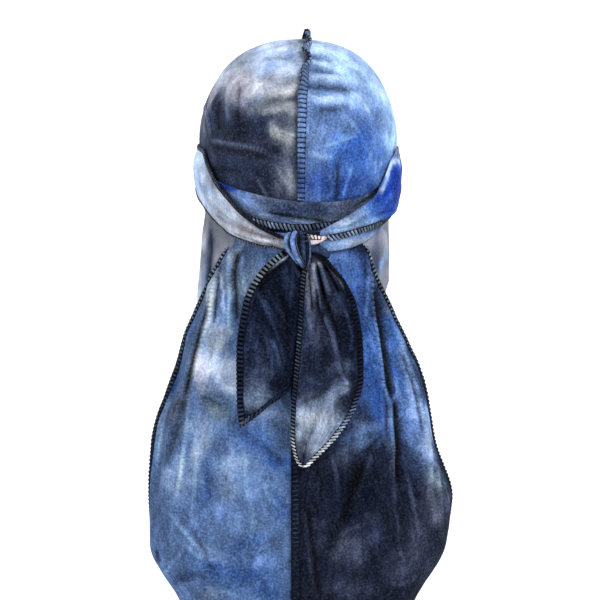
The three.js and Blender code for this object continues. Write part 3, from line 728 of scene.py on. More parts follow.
END_RIGHT_CREASES = [
    ((313, 259), (316, 284), (325, 316), 1.8, 2.6, 0.75),
    ((324, 312), (333, 336), (339, 370), 1.5, 1.8, 0.75),
    ((336, 358), (341, 374), (350, 388), 1.6, 1.2, 1.0),
    ((350, 387), (346, 392), (340, 396), 1.2, 0.6, 0.8),
    ((338, 372), (332, 400), (333, 434), 1.0, 0.5, 0.55),
    ((318, 262), (321, 280), (326, 304), 1.8, -2.0, -0.95),
    ((318, 259), (324, 276), (331, 298), 1.6, 2.2, 0.8),
    ((323, 263), (332, 277), (341, 296), 1.9, -1.8, -0.9),
    ((324, 259), (337, 273), (348, 294), 2.0, 2.2, 0.5),
    ((326, 300), (332, 318), (340, 340), 2.2, -1.4, -0.6),
    ((309, 266), (311, 288), (314, 318), 1.8, -1.0, -0.6),
    ((308, 300), (310, 330), (318, 352), 1.4, 0.6, 0.3),
    ((303, 350), (312, 343), (324, 352), 1.2, 0.5, 0.35),
    ((352, 397), (346, 393), (339, 390), 1.0, 0.4, 0.4),
    ((300, 404), (316, 396), (338, 380), 2.4, -0.6, -0.3),
    ((343, 306), (350, 330), (350, 356), 1.2, 0.6, 0.4),
    ((304, 372), (312, 381), (323, 385), 1.0, 0.5, 0.4),
    ((312, 290), (309, 312), (312, 336), 1.0, 0.5, 0.4),
]
FALL_CREASES = [
    ((206, 226), (204, 260), (198, 306), 1.8, 1.2, 0.3),
    ((211, 226), (210, 262), (206, 306), 2.2, -1.4, -0.5),
    ((200, 228), (199, 250), (195, 280), 1.6, -1.0, -0.35),
    ((382, 228), (386, 246), (385, 266), 2.0, 0.8, 0.4),
]

# The knot: how far its rolls twist and how wide their pleats are, in degrees, how much a pleat
# narrows and flattens its roll and how much painted shade it lays on it, and the steps in which
# its stitching is read
ROLL_TWIST = 16
PLEAT_WIDTH = 11
PLEAT_NARROWS = 0.12
PLEAT_FLATTENS = 0.3
PLEAT_SHADE = 0.85
KNOT_STEPS = 30

# The rolled cloth of the knot: each roll's path, its half width at its start, middle and end, its
# half thickness, where it is pleated and where its painted highlight lies (degrees round it, 90 is
# outwards), its dye and the colour of its painted highlight.
KNOT_ROLLS = {
    "knot_left": dict(
        path=[
            (-5.6, -104, -140.4), (-7.4, -107, -143), (-8, -108, -146.6), (-6.8, -108.4, -151),
            (-3.5, -108, -156), (1.8, -105, -164.5),
        ],
        widths=(2.3, 2.5, 1.6), thick=2.7, pleats=(), light=40, dye="storm", crest="steel",
    ),
    "knot_loop": dict(
        path=[
            (-1.4, -104.6, -139.4), (-2.8, -109.4, -142), (-3.4, -111.4, -146), (-2.4, -111.8, -151),
            (-0.4, -111.4, -156.4), (2.6, -109.6, -161.8), (4.4, -106, -166.5),
        ],
        widths=(2.2, 2.5, 1.5), thick=2.7, pleats=(134,), light=56, dye="dusk", crest="cornflower",
    ),
    "knot_cross": dict(
        path=[
            (2.2, -104.6, -139), (3.6, -108.4, -142), (4.4, -109.6, -148), (5, -109, -155),
            (5.6, -107.6, -161), (5, -104.6, -167),
        ],
        widths=(2.9, 3.2, 1.9), thick=2.8, pleats=(118,), light=82, dye="ink", crest="storm",
    ),
    "knot_inner": dict(
        path=[
            (6.6, -104.6, -141), (8.4, -107.8, -146.6), (9, -108.2, -154), (8.4, -107.4, -160.6),
            (5.6, -104.6, -167.6),
        ],
        widths=(0.9, 1.1, 0.9), thick=2.4, pleats=(), light=90, dye="navy", crest="dusk",
    ),
    "knot_roll": dict(
        path=[
            (8.4, -104.6, -153.4), (12, -107.6, -153.4), (16.2, -108.4, -154.2), (19.6, -107, -156),
            (21.8, -104.4, -158),
        ],
        widths=(4.0, 4.6, 3.0), thick=3.8, pleats=(62,), light=128, dye="ink", crest="storm",
    ),
    "knot_flap": dict(
        path=[
            (5.6, -104.6, -145.4), (9.4, -107, -145.4), (14.4, -107.4, -144.8), (21.8, -105.4, -143.8),
        ],
        widths=(4.6, 3.6, 0.8), thick=0.8, pleats=(), light=90, dye="pale_pink", crest="pale_pink",
    ),
}

# The overlocking that is caught in the knot: the inner line, the outer line, and how it is sewn
KNOT_STITCHES = {
    "knot_flap_stitches": dict(
        inner=[(8, -107.9, -144.6), (12.5, -108.3, -145), (17, -107.9, -145)],
        edge=[(6.8, -107.6, -140.6), (12.6, -107.9, -141.6), (18.6, -106.8, -142.6)],
        pitch=2.6, slant=1.6, thread=0.42, tones=("black",),
    ),
    "knot_cross_stitches": dict(
        inner=[(0.6, -111.4, -138.6), (1.6, -112.3, -142.6), (2.6, -112.4, -147.6)],
        edge=[(5.2, -110.4, -138.2), (6.4, -111.4, -142.4), (6.8, -111.6, -147)],
        pitch=2.3, slant=0.9, thread=0.6, tones=("dusk", "charcoal", "dusk"),
    ),
}


# Curves and noise


def smooth(at, start, stop):
    """A soft step from 0 at the start to 1 at the stop."""
    share = np.clip((at - start) / (stop - start), 0, 1)
    return share * share * (3 - 2 * share)


def bell(distance, width):
    """A soft bump that is 1 in its middle."""
    return np.exp(-((distance / width) ** 2))


def unit(vectors):
    return vectors / np.linalg.norm(vectors, axis=-1, keepdims=True)


def turned(east, south, tilt):
    """An offset measured along and across a line that is tilted by some degrees."""
    lean = np.radians(tilt)
    return east * np.cos(lean) + south * np.sin(lean), south * np.cos(lean) - east * np.sin(lean)


def read_table(rows, columns, key, column, at):
    """A smooth curve through a table's rows that never overshoots between them."""
    x = np.array([row[columns.index(key)] for row in rows], float)
    y = np.array([row[columns.index(column)] for row in rows], float)
    slope = np.diff(y) / np.diff(x)
    product = slope[:-1] * slope[1:]
    total = np.where(product > 0, slope[:-1] + slope[1:], 1)
    tangent = np.concatenate(([slope[0]], np.where(product > 0, 2 * product / total, 0), [slope[-1]]))
    place = np.clip(at, x[0], x[-1])
    i = np.clip(np.searchsorted(x, place, side="left") - 1, 0, len(x) - 2)
    span = x[i + 1] - x[i]
    t = (place - x[i]) / span
    start = y[i] * (1 + 2 * t) * (1 - t) ** 2 + tangent[i] * span * t * (1 - t) ** 2
    return start + y[i + 1] * t * t * (3 - 2 * t) - tangent[i + 1] * span * t * t * (1 - t)


def table_reader(rows, columns, key, at):
    """A short way to read any column of a table at the same places."""
    return lambda column: read_table(rows, columns, key, column, at)


def clouds(points, size, seed):
    """Soft random clouds from -1 to 1 whose billows are about the given size in mm."""
    lattice = np.random.RandomState(seed).uniform(-1, 1, (32, 32, 32))
    place = points / size + 100
    cell = np.floor(place).astype(int)
    part = place - cell
    part = part * part * (3 - 2 * part)
    value = 0
    for corner in range(8):
        step = np.array([corner & 1, corner >> 1 & 1, corner >> 2 & 1])
        weight = np.prod(np.where(step, part, 1 - part), axis=-1)
        index = (cell + step) % 32
        value = value + weight * lattice[index[..., 0], index[..., 1], index[..., 2]]
    return value


def drift(points, size, seed):
    """Soft random clouds in pairs, to move places of the view by."""
    return np.stack([clouds(points, size, seed), clouds(points, size, seed + 1)], axis=-1)


# The view from behind


def camera_axes():
    """Where the camera stands, the way it looks and the way that is up in its picture."""
    ahead = np.array([0, np.cos(CAMERA_DROP), -np.sin(CAMERA_DROP)])
    up = np.array([0, np.sin(CAMERA_DROP), np.cos(CAMERA_DROP)])
    return CAMERA_TARGET - ahead * CAMERA_DISTANCE, ahead, up


def back_view(points):
    """Where points lie on the view from behind, in its units from the upper left."""
    eye, ahead, up = camera_axes()
    sight = points - eye
    reach = CAMERA_DISTANCE / (sight @ ahead) / VIEW_UNIT
    return np.stack([VIEW_SIZE / 2 + sight[..., 0] * reach, VIEW_SIZE / 2 - (sight @ up) * reach], axis=-1)


# The worn shapes, each a grid of points in mm


def head_point(turn, fall, lift):
    """A point above the block, at a turn round it and a fall down from its top in degrees."""
    turn, fall, lift = np.broadcast_arrays(np.radians(turn), np.radians(fall), lift)
    rise = np.where(fall < np.pi / 2, HEAD_TOP_RISE, HEAD_LOW_RISE)
    point = np.stack(
        [
            HEAD_WIDTH / 2 * np.sin(fall) * np.sin(turn),
            -HEAD_LENGTH / 2 * np.sin(fall) * np.cos(turn),
            rise * np.cos(fall),
        ],
        axis=-1,
    )
    girth = np.array([(HEAD_WIDTH / 2) ** 2, (HEAD_LENGTH / 2) ** 2, 1])
    normal = unit(point / np.where(np.arange(3) == 2, rise[..., None] ** 2, girth))
    return point - np.array([0, 0, HEAD_TOP_RISE]) + normal * lift[..., None]


def fall_at_depth(depth):
    """The fall, in degrees, at which the block is so many mm below its top."""
    rise = np.where(depth < HEAD_TOP_RISE, HEAD_TOP_RISE, HEAD_LOW_RISE)
    return np.degrees(np.arccos((HEAD_TOP_RISE - depth) / rise))


def rim_fall(turn):
    """The fall at which the crown ends: low at the back and high at the front."""
    middle = (RIM_BACK + RIM_FRONT) / 2
    return fall_at_depth(middle + (RIM_BACK - RIM_FRONT) / 2 * np.cos(np.radians(turn)))


def crown_point(across, along, lift):
    """A point of the crown, from its place on a disc whose rim is the crown's rim."""
    drifted = across + SEAM_DRIFT * (1 - np.abs(across))
    turn = np.degrees(np.arctan2(drifted, along))
    fall = np.hypot(drifted, along) * rim_fall(turn)
    per_degree = np.radians(HEAD_WIDTH / 2)
    height = lift
    for at_turn, at_fall, length, width, slope, rise in CROWN_WRINKLES:
        east = (turn - at_turn) * per_degree * np.sin(np.radians(fall))
        south = (fall - at_fall) * per_degree
        lengthwise, sideways = turned(east, south, slope)
        height = height + rise * bell(lengthwise, length) * bell(sideways, width)
    return head_point(turn, fall, height)


def squares(columns, rows):
    """The shares across and down of every point of a grid."""
    return np.meshgrid(np.linspace(0, 1, columns + 1), np.linspace(0, 1, rows + 1))


def crown_half(side, columns=110, rows=220):
    """Half of the crown, from its seam (first column) to its rim."""
    u, v = squares(columns, rows)
    t = 2 * v - 1
    across = side * u * np.sqrt(1 - t * t / 2)
    along = t * np.sqrt(1 - u * u / 2)
    return crown_point(across, along, CLOTH / 2) + np.array([side * GAP / 2, 0, 0])


def seam_lean(run, fall):
    """How far the seam allowance leans over at a fall, on its way to the back or the front."""
    first, last = run["lean"]
    return first + (last - first) * smooth(fall, *run["fall"])


def crown_seam(columns=10, rows=460):
    """The seam allowance that stands up from the crown, from its foot to its bound edge."""
    u, v = squares(columns, rows)
    along = SEAM_FRONT + (SEAM_BACK - SEAM_FRONT) * v
    fall = along * rim_fall(np.where(along > 0, 0, 180))
    lean = np.where(along > 0, seam_lean(SEAM_LEAN_BACK, fall), seam_lean(SEAM_LEAN_FRONT, -fall))
    wave = SEAM_WAVE * np.sin(fall / SEAM_WAVE_STEP) * bell(fall - SEAM_WAVE_FALL, SEAM_WAVE_REACH)
    wave = np.where(along > 0, wave, 0)
    reach = u * SEAM_ALLOWANCE
    tilt = np.radians(lean + wave)
    per_share = np.radians(rim_fall(0)) * HEAD_WIDTH / 2
    foot = CLOTH + SEAM_STANDOFF + SEAM_CLOTH / 2 * np.sin(np.radians(lean))
    return crown_point(-reach * np.sin(tilt) / per_share, along, foot + reach * np.cos(tilt))


def tie_band(course, side, columns=26, rows=520):
    """A tie wrapped round the crown along its course, and the turn of each of its points."""
    u, v = squares(columns, rows)
    turn = course[0][0] + (course[-1][0] - course[0][0]) * v
    read = table_reader(course, TIE_COLUMNS, "turn", turn)
    depth = RIM_BACK * (read("top") + (read("low") - read("top")) * u)
    lift = CLOTH + read("lift") + read("bulge") * (1 - (2 * u - 1) ** 2)
    lift = lift - read("tuck") * (1 - smooth(u, 0, TUCK_WIDTH))
    return head_point(side * turn, fall_at_depth(depth), lift), turn


def cape_point(side, across, depth, lift):
    """A point of the cape, as shares from its seam to its free edge and from its top to its hem."""
    level = table_reader(CAPE_LEVELS, CAPE_COLUMNS, "depth", depth)
    reach = CAPE_HALF_WIDTH * level("right" if side > 0 else "left")
    edge_turn = level("turn")
    turn = np.radians(edge_turn * across)
    half_width = reach / np.sin(np.radians(np.minimum(edge_turn, 90)))
    bow = level("bow")
    out_x = bow * np.sin(turn)
    out_y = -half_width * np.cos(turn)
    height = lift
    for upper, lower, start, stop, rise, width in RIGHT_FOLDS if side > 0 else LEFT_FOLDS:
        share = np.clip((depth - start) / (stop - start), 0, 1)
        fade = smooth(depth, start, start + FOLD_START)
        if stop < 1:
            fade = fade * (1 - smooth(depth, stop - FOLD_STOP[0], stop + FOLD_STOP[1]))
        height = height + rise * fade * bell(across - (upper + (lower - upper) * share), width)
    stretch = height / np.hypot(out_x, out_y)
    return np.stack(
        [
            CAPE_SEAM_X + side * (GAP / 2 + half_width * np.sin(turn) + out_x * stretch),
            -level("back") + bow * (1 - np.cos(turn)) + out_y * stretch,
            -CAPE_TOP - CAPE_LENGTH * depth + CAPE_CORNER_RISE * across**2 * (1 - depth) ** 4,
        ],
        axis=-1,
    )


def cape_half(side, columns=140, rows=280):
    """Half of the cape, from its seam (first column) to its free edge."""
    u, v = squares(columns, rows)
    return cape_point(side, u, v, 0)


def cape_seam(columns=10, rows=460):
    """The seam allowance of the cape, which lies flat on its right half."""
    u, v = squares(columns, rows)
    depth = CAPE_SEAM_START + (CAPE_SEAM_STOP - CAPE_SEAM_START) * v
    level = table_reader(CAPE_LEVELS, CAPE_COLUMNS, "depth", depth)
    half_width = CAPE_HALF_WIDTH * level("right") / np.sin(np.radians(np.minimum(level("turn"), 90)))
    span = half_width * np.radians(level("turn"))
    return cape_point(1, u * CAPE_ALLOWANCE / span, depth, CLOTH / 2 + SEAM_STANDOFF / 2 + SEAM_CLOTH / 2)


def side_fall(side, length, spread, columns=44, rows=70):
    """The smooth cloth at one side, which hangs from under the bands."""
    u, v = squares(columns, rows)
    lift = 2 * CLOTH - FALL_TUCK * (1 - smooth(u, 0, 0.45))
    turn = side * (FALL_BACK + (FALL_FRONT - FALL_BACK) * u)
    top = head_point(turn, fall_at_depth(SIDE_FALL_TOP - FALL_SLANT * u), lift)
    shift = np.stack(
        [
            side * spread * v**0.6 * (0.4 + 0.6 * u),
            FALL_SWING * v * (1 - u) + FALL_WAVE * np.sin(2 * np.pi * u) * smooth(v, 0.1, 0.6),
            -(length + FALL_SLANT * u) * v * (1 - FALL_ROUNDING * u * u),
        ],
        axis=-1,
    )
    return top + shift


def tie_end(shape, columns=80, rows=150):
    """A hanging tie end, from its rows and the folds that open below the knot."""
    u, v = squares(columns, rows)
    row = table_reader(shape["rows"], END_COLUMNS, "share", v)
    rise = sum(height * bell(u - across, width) for across, height, width in shape["folds"])
    opened = smooth(v, *OPENING) * smooth(np.abs(row("inner") - row("outer")), *OPENING_WIDTH)
    tops, drops = shape["tops"], shape["drops"]
    return np.stack(
        [
            row("outer") + (row("inner") - row("outer")) * u,
            -row("back") - rise * opened,
            -(tops[0] + (tops[1] - tops[0]) * u) - (drops[0] + (drops[1] - drops[0]) * u) * v,
        ],
        axis=-1,
    )


def outward(points):
    """Unit normals of a grid that point outwards."""
    normal = np.cross(np.gradient(points, axis=1), np.gradient(points, axis=0))
    normal /= np.maximum(np.linalg.norm(normal, axis=-1, keepdims=True), 1e-9)
    centre = np.array([0, 0, points[..., 2].mean()])
    return normal if np.sum(normal * (points - centre)) > 0 else -normal


# Creases and dye


def bend_through(spots, count):
    """A bend through three spots of the view, and how far along it each of its points is."""
    start, middle, stop = (np.array(spot, float) for spot in spots)
    t = np.linspace(0, 1, count)[:, None]
    handle = 2 * middle - (start + stop) / 2
    return start * (1 - t) ** 2 + handle * 2 * t * (1 - t) + stop * t * t, t[:, 0]


def crease_reach(place, spots, width):
    """How near each place is to a crease, from 0 to 1, on its whole width and on its crest."""
    line, t = bend_through(spots, 33)
    low, high = line.min(axis=0) - 3 * width, line.max(axis=0) + 3 * width
    near = np.all((place > low) & (place < high), axis=-1)
    wide = np.zeros(place.shape[:-1])
    crest = np.zeros(place.shape[:-1])
    if near.any():
        apart = np.linalg.norm(place[near][:, None, :] - line[None], axis=-1)
        nearest = apart.argmin(axis=1)
        along = t[nearest]
        fade = smooth(along, 0, 0.18) * (1 - smooth(along, 0.82, 1))
        distance = apart.min(axis=1)
        wide[near] = bell(distance, width) * fade
        reach = max(CREST_SHARE * width, CREST_LEAST)
        crest[near] = bell(distance, reach) * fade * np.sqrt(CREST_SHARE * width / reach)
    return wide, crest


def press_creases(points, creases, amount=1.0, seed=0):
    """A grid pushed out and in along its creases, and how much painted highlight and painted shade each
    point takes.
    """
    place = back_view(points) + CREASE_DRIFT * drift(points, 16, seed + 70)
    behind = amount * (1 - smooth(points[..., 1], *BACK_FADE))
    light = CREST_HIGHLIGHT + CREST_UNEVEN * clouds(points, 15, seed + 74)
    height = np.zeros(points.shape[:-1])
    shine = np.zeros(points.shape[:-1])
    shade = np.zeros(points.shape[:-1])
    for start, middle, stop, width, rise, mark in creases:
        wide, crest = crease_reach(place, (start, middle, stop), width)
        height += rise * wide * behind
        shine = np.maximum(shine, np.clip(mark * crest * behind * light, 0, 1))
        shade = np.maximum(shade, np.clip(-mark * wide * behind, 0, 0.95))
    dents = sum(
        depth * clouds(points, size, seed + 72 + k) for k, (size, depth) in enumerate(SMALL_DENTS)
    )
    return points + outward(points) * (height + dents)[..., None], shine, shade


def dye_colour(name):
    """A dye's red, green and blue, from 0 to 1."""
    code = DYES[name]
    return np.array([int(code[k : k + 2], 16) / 255 for k in (1, 3, 5)])


def mix(colour, other, share):
    """Let a colour run over into another, by each point's share."""
    return colour + (other - colour) * share[..., None]


def take_patches(points, ground, patches, seed, warp):
    """The ground with its patches of dye, whose rims are soft and wander."""
    colour = np.zeros(points.shape) + dye_colour(ground)
    place = back_view(points)
    for size, amount, first in PATCH_DRIFTS:
        place = place + amount * warp * drift(points, size, seed + first)
    uneven = 1 + PATCH_UNEVEN * clouds(points, 7, seed + 4)
    for across, down, wide, tall, tilt, name, strength in patches:
        lengthwise, sideways = turned(place[..., 0] - across, place[..., 1] - down, tilt)
        reach = ((lengthwise / wide) ** 2 + (sideways / tall) ** 2) ** PATCH_RIM
        colour = mix(colour, dye_colour(name), np.clip(strength * np.exp(-reach) * uneven, 0, 1))
    return colour


def unseen_dye(points, dyes, seed):
    """Broad clouds of three dyes, for the front."""
    cloud = clouds(points, 34, seed + 5) + 0.5 * clouds(points, 13, seed + 6)
    colour = np.zeros(points.shape) + dye_colour(dyes[0])
    colour = mix(colour, dye_colour(dyes[1]), smooth(cloud, 0.05, 0.55))
    return mix(colour, dye_colour(dyes[2]), smooth(-cloud, 0.1, 0.6))


def soak(points, ground, patches, front=("steel", "mist", "charcoal"), seed=0, warp=7.0):
    """Colour a grid of points as the dye bath did: a ground, patches over it and clouds."""
    colour = take_patches(points, ground, patches, seed, warp)
    streaks = points * np.array([1, 1, 0.35])
    bloom = clouds(points, 15, seed + 10)
    bloom = bloom + 0.6 * clouds(points, 6, seed + 11) + 0.6 * clouds(streaks, 5, seed + 12)
    colour = colour * (1 + CLOUD_DARK * np.clip(bloom, -1, 1))[..., None]
    colour = mix(colour, 0.7, CLOUD_WHITE * smooth(bloom, 0.3, 1.1))
    ahead = smooth(points[..., 1] + 12 * clouds(points, 20, seed + 7), -12, 22)
    return mix(colour, unseen_dye(points, front, seed), ahead)


def finish_colour(colour, shine, shade, edge=None):
    """Paint shade into the hollows and highlights onto the crests, and darken the cloth under the edge
    stitching.
    """
    colour = colour * (1 - HOLLOW_SHADE * shade)[..., None]
    colour = mix(colour, np.clip(colour * HIGHLIGHT_GAIN + HIGHLIGHT_TINT, 0, HIGHLIGHT_MOST), shine)
    if edge is not None:
        colour = mix(colour, dye_colour("black"), edge)
    return np.clip(colour, 0, 1)


def near_edge(points, which, width):
    """How much of the cloth lies under the stitching of the named edge, from 0 to 1."""
    across = np.linalg.norm(np.diff(points, axis=1), axis=-1)
    down = np.linalg.norm(np.diff(points, axis=0), axis=-1)
    x = np.concatenate([np.zeros((points.shape[0], 1)), np.cumsum(across, axis=1)], axis=1)
    y = np.concatenate([np.zeros((1, points.shape[1])), np.cumsum(down, axis=0)], axis=0)
    inside = {"start": x, "stop": x[:, -1:] - x, "top": y, "hem": y[-1:] - y}[which]
    return 1 - smooth(inside, width - 0.8, width + 0.6)


# Materials


LEAST_DYE = 0.2
# The tint of the painted glint that the tips of the pile throw back
GLINT_TINT = (0.72, 0.84, 1.0)
DARKEST = (0.0015, 0.002, 0.004)
PILE_HEIGHT = 0.0012


def linear(colour):
    """A colour as light, from the way it is written on a screen."""
    return np.where(colour <= 0.04045, colour / 12.92, ((colour + 0.055) / 1.055) ** 2.4)


def new_group(name, inputs, outputs):
    """A node group with named sockets."""
    group = bpy.data.node_groups.new(name, "ShaderNodeTree")
    for label, kind, value in inputs:
        socket = group.interface.new_socket(label, in_out="INPUT", socket_type=kind)
        if value is not None:
            socket.default_value = value
    for label, kind in outputs:
        group.interface.new_socket(label, in_out="OUTPUT", socket_type=kind)
    return group


class Wiring:
    """Short ways to add the nodes of one tree and to join them."""

    def __init__(self, tree):
        self.nodes, self.links = tree.nodes, tree.links

    def feed(self, socket, value):
        """Join a socket to another node's output, or give it a fixed value."""
        if isinstance(value, bpy.types.NodeSocket):
            self.links.new(value, socket)
        else:
            socket.default_value = value

    def calculate(self, operation, *values):
        """The outcome of an operation on numbers."""
        node = self.nodes.new("ShaderNodeMath")
        node.operation = operation
        for socket, value in zip(node.inputs, values):
            self.feed(socket, value)
        return node.outputs[0]

    def blend(self, operation, first, second):
        """The same for colours. A colour that is scaled takes a single number as its second."""
        node = self.nodes.new("ShaderNodeVectorMath")
        node.operation = operation
        self.feed(node.inputs[0], first)
        self.feed(node.inputs["Scale" if operation == "SCALE" else 1], second)
        return node.outputs[0]

    def stretch_to(self, value, low, high, to_low, to_high):
        """A value brought from one range to another."""
        node = self.nodes.new("ShaderNodeMapRange")
        labels = ("Value", "From Min", "From Max", "To Min", "To Max")
        for label, number in zip(labels, (value, low, high, to_low, to_high)):
            self.feed(node.inputs[label], number)
        return node.outputs[0]

    def noise(self, source, scale, detail, distortion=0.0, stretch=None):
        """Noise over the places that the source gives, stretched where this is asked for."""
        node = self.nodes.new("ShaderNodeTexNoise")
        node.inputs["Scale"].default_value = scale
        node.inputs["Detail"].default_value = detail
        node.inputs["Distortion"].default_value = distortion
        if stretch:
            mapping = self.nodes.new("ShaderNodeMapping")
            mapping.inputs["Scale"].default_value = stretch
            self.links.new(source, mapping.inputs["Vector"])
            source = mapping.outputs[0]
        self.links.new(source, node.inputs["Vector"])
        return node.outputs["Fac"]

    def dye(self):
        """The colour that was painted on the mesh: its dye, with painted highlights and shade."""
        node = self.nodes.new("ShaderNodeAttribute")
        node.attribute_name = "dye"
        return node.outputs["Color"]


def velvet_pile():
    """Crushed pile, as colour, roughness and bump. Speckle is the single tufts, crush the small
    marks, brushing the strokes that run along the cloth, crinkle the thin lines where it was
    folded, and glint is a painted glint: how much light the tips throw back whatever the dye,
    added to the colour."""
    group = new_group(
        "velvet pile",
        [
            ("Dye", "NodeSocketColor", (0.5, 0.5, 0.5, 1)),
            ("Speckle", "NodeSocketFloat", 0.2),
            ("Crush", "NodeSocketFloat", 0.15),
            ("Brushing", "NodeSocketFloat", 0.15),
            ("Crinkle", "NodeSocketFloat", 0.2),
            ("Glint", "NodeSocketFloat", 0.02),
            ("Depth", "NodeSocketFloat", 0.3),
        ],
        [("Colour", "NodeSocketColor"), ("Roughness", "NodeSocketFloat"), ("Normal", "NodeSocketVector")],
    )
    nodes, links = group.nodes, group.links
    wire = Wiring(group)
    amount = nodes.new("NodeGroupInput").outputs
    result = nodes.new("NodeGroupOutput").inputs
    place = nodes.new("ShaderNodeTexCoord")
    body, cut = place.outputs["Object"], place.outputs["UV"]

    speckle = wire.stretch_to(wire.noise(body, 640, 2), 0.36, 0.64, -1, 1)
    crush = wire.stretch_to(wire.noise(body, 230, 4, 1.0), 0.32, 0.68, -1, 1)
    brushing = wire.stretch_to(wire.noise(cut, 1, 4, 0.6, stretch=(330, 46, 1)), 0.32, 0.68, -1, 1)
    ridge = wire.calculate("ABSOLUTE", wire.calculate("SUBTRACT", wire.noise(body, 36, 3, 1.2), 0.5))
    ridge = wire.stretch_to(ridge, 0.0, 0.016, 1, 0)
    folded = wire.stretch_to(wire.noise(body, 17, 1), 0.5, 0.64, 0, 1)
    crinkle = wire.calculate("MULTIPLY", ridge, folded)

    total = wire.calculate("MULTIPLY", speckle, amount["Speckle"])
    for marks, name in ((crush, "Crush"), (brushing, "Brushing"), (crinkle, "Crinkle")):
        total = wire.calculate("ADD", total, wire.calculate("MULTIPLY", marks, amount[name]))
    paleness = nodes.new("ShaderNodeRGBToBW")
    links.new(amount["Dye"], paleness.inputs[0])
    total = wire.calculate("MULTIPLY", total, wire.stretch_to(paleness.outputs[0], 0.02, 0.35, 1.0, 0.6))

    strength = wire.calculate("MAXIMUM", wire.calculate("ADD", total, 1.0), LEAST_DYE)
    tinted = wire.blend("SCALE", amount["Dye"], strength)
    # A painted glint on the brightest tufts, added to the dyed colour
    bright = wire.calculate("POWER", wire.calculate("MAXIMUM", speckle, 0.0), 2.0)
    tips = wire.blend("SCALE", GLINT_TINT, wire.calculate("MULTIPLY", bright, amount["Glint"]))
    colour = wire.blend("MAXIMUM", wire.blend("ADD", tinted, tips), DARKEST)
    links.new(colour, result["Colour"])
    links.new(wire.stretch_to(total, -0.3, 0.3, 0.95, 0.75), result["Roughness"])
    bump = nodes.new("ShaderNodeBump")
    bump.inputs["Distance"].default_value = PILE_HEIGHT
    links.new(amount["Depth"], bump.inputs["Strength"])
    links.new(total, bump.inputs["Height"])
    links.new(bump.outputs[0], result["Normal"])
    return group


PILE = velvet_pile()


def new_finish(name, **constants):
    """A new material, with fixed values on its shader's own sockets."""
    material = bpy.data.materials.new(name)
    material.use_nodes = True
    shader = material.node_tree.nodes["Principled BSDF"]
    for label, value in constants.items():
        shader.inputs[label.replace("_", " ")].default_value = value
    return material, shader, Wiring(material.node_tree)


def velvet(name, sheen, speckle, crush, brushing, crinkle=0.22, glint=0.012, depth=0.5):
    """Velvet in the colour painted on the mesh: its dye, with painted highlights and shade."""
    material, shader, wire = new_finish(
        name,
        Specular_IOR_Level=0.03,
        Sheen_Weight=sheen,
        Sheen_Roughness=0.4,
        Sheen_Tint=(0.75, 0.84, 1.0, 1),
    )
    pile = wire.nodes.new("ShaderNodeGroup")
    pile.node_tree = PILE
    wire.feed(pile.inputs["Dye"], wire.dye())
    amounts = dict(
        Speckle=speckle, Crush=crush, Brushing=brushing, Crinkle=crinkle, Glint=glint, Depth=depth
    )
    for label, amount in amounts.items():
        pile.inputs[label].default_value = amount
    for label, socket in (("Colour", "Base Color"), ("Roughness", "Roughness"), ("Normal", "Normal")):
        wire.links.new(pile.outputs[label], shader.inputs[socket])
    return material


def thread_finish():
    """Overlock thread: twisted, uneven and dull, in the tone it took from the bath, with painted shade at
    its ends.
    """
    material, shader, wire = new_finish("overlock thread", Roughness=0.75, Specular_IOR_Level=0.08)
    place = wire.nodes.new("ShaderNodeTexCoord")
    twist = wire.stretch_to(wire.noise(place.outputs["Object"], 700, 2), 0.35, 0.65, 0.45, 1.25)
    wire.links.new(wire.blend("SCALE", wire.dye(), twist), shader.inputs["Base Color"])
    return material


VELVET_LIGHT = velvet("velvet light", 0.05, 0.24, 0.2, 0.17, crinkle=0.4, glint=0.02)
VELVET_BLUE = velvet("velvet blue", 0.03, 0.28, 0.2, 0.17, crinkle=0.55, glint=0.03)
VELVET_DARK = velvet("velvet dark", 0.01, 0.36, 0.22, 0.26, crinkle=0.8, glint=0.008)
VELVET_REVERSE = velvet("velvet reverse", 0.03, 0.08, 0.08, 0.1, crinkle=0.05, depth=0.2)
SEAM_VELVET = velvet("seam velvet", 0.05, 0.3, 0.2, 0.0)
THREAD_FINISH = thread_finish()


# Making the pieces

DYE_DEPTH = 0.86
BODY = "root"


def deselect():
    bpy.ops.object.select_all(action="DESELECT")


def select_edges(piece, chosen):
    """Select the edges whose two ends pass a test, and leave the piece in edit mode."""
    bpy.ops.object.mode_set(mode="EDIT")
    bpy.ops.mesh.select_mode(type="EDGE")
    bpy.ops.mesh.select_all(action="DESELECT")
    bpy.ops.object.mode_set(mode="OBJECT")
    for edge in piece.data.edges:
        edge.select = bool(chosen(*(piece.data.vertices[k].co for k in edge.vertices)))
    bpy.ops.object.mode_set(mode="EDIT")


def face_outwards():
    """Turn the faces of the active piece outwards and shade it smooth."""
    bpy.ops.object.mode_set(mode="EDIT")
    bpy.ops.mesh.select_all(action="SELECT")
    bpy.ops.mesh.normals_make_consistent(inside=False)
    bpy.ops.object.mode_set(mode="OBJECT")
    bpy.ops.object.shade_smooth()


def tag(piece, material, slot, *nodes):
    """Give a piece its material and its body, and hide the solids that it stands for. The slot is not used.
    """
    piece.data.materials.clear()
    piece.data.materials.append(material)
    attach(piece, BODY)
    for node in nodes:
        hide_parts(node)
    return piece


def paint(mesh, colour):
    """Keep the colour of each point: the dye, with the painted highlights and shade laid into it."""
    shade = np.ones((len(colour), 4))
    shade[:, :3] = linear(colour) * DYE_DEPTH
    layer = mesh.color_attributes.new("dye", "FLOAT_COLOR", "POINT")
    layer.data.foreach_set("color", shade.ravel())


def scale_cut(mesh, width, length):
    """Size the mesh's own map like the flat cloth, in metres, so that its grain keeps its scale."""
    layer = mesh.uv_layers[0].data
    spots = np.empty(len(layer) * 2)
    layer.foreach_get("uv", spots)
    layer.foreach_set("uv", (spots.reshape(-1, 2) * (width, length)).ravel())


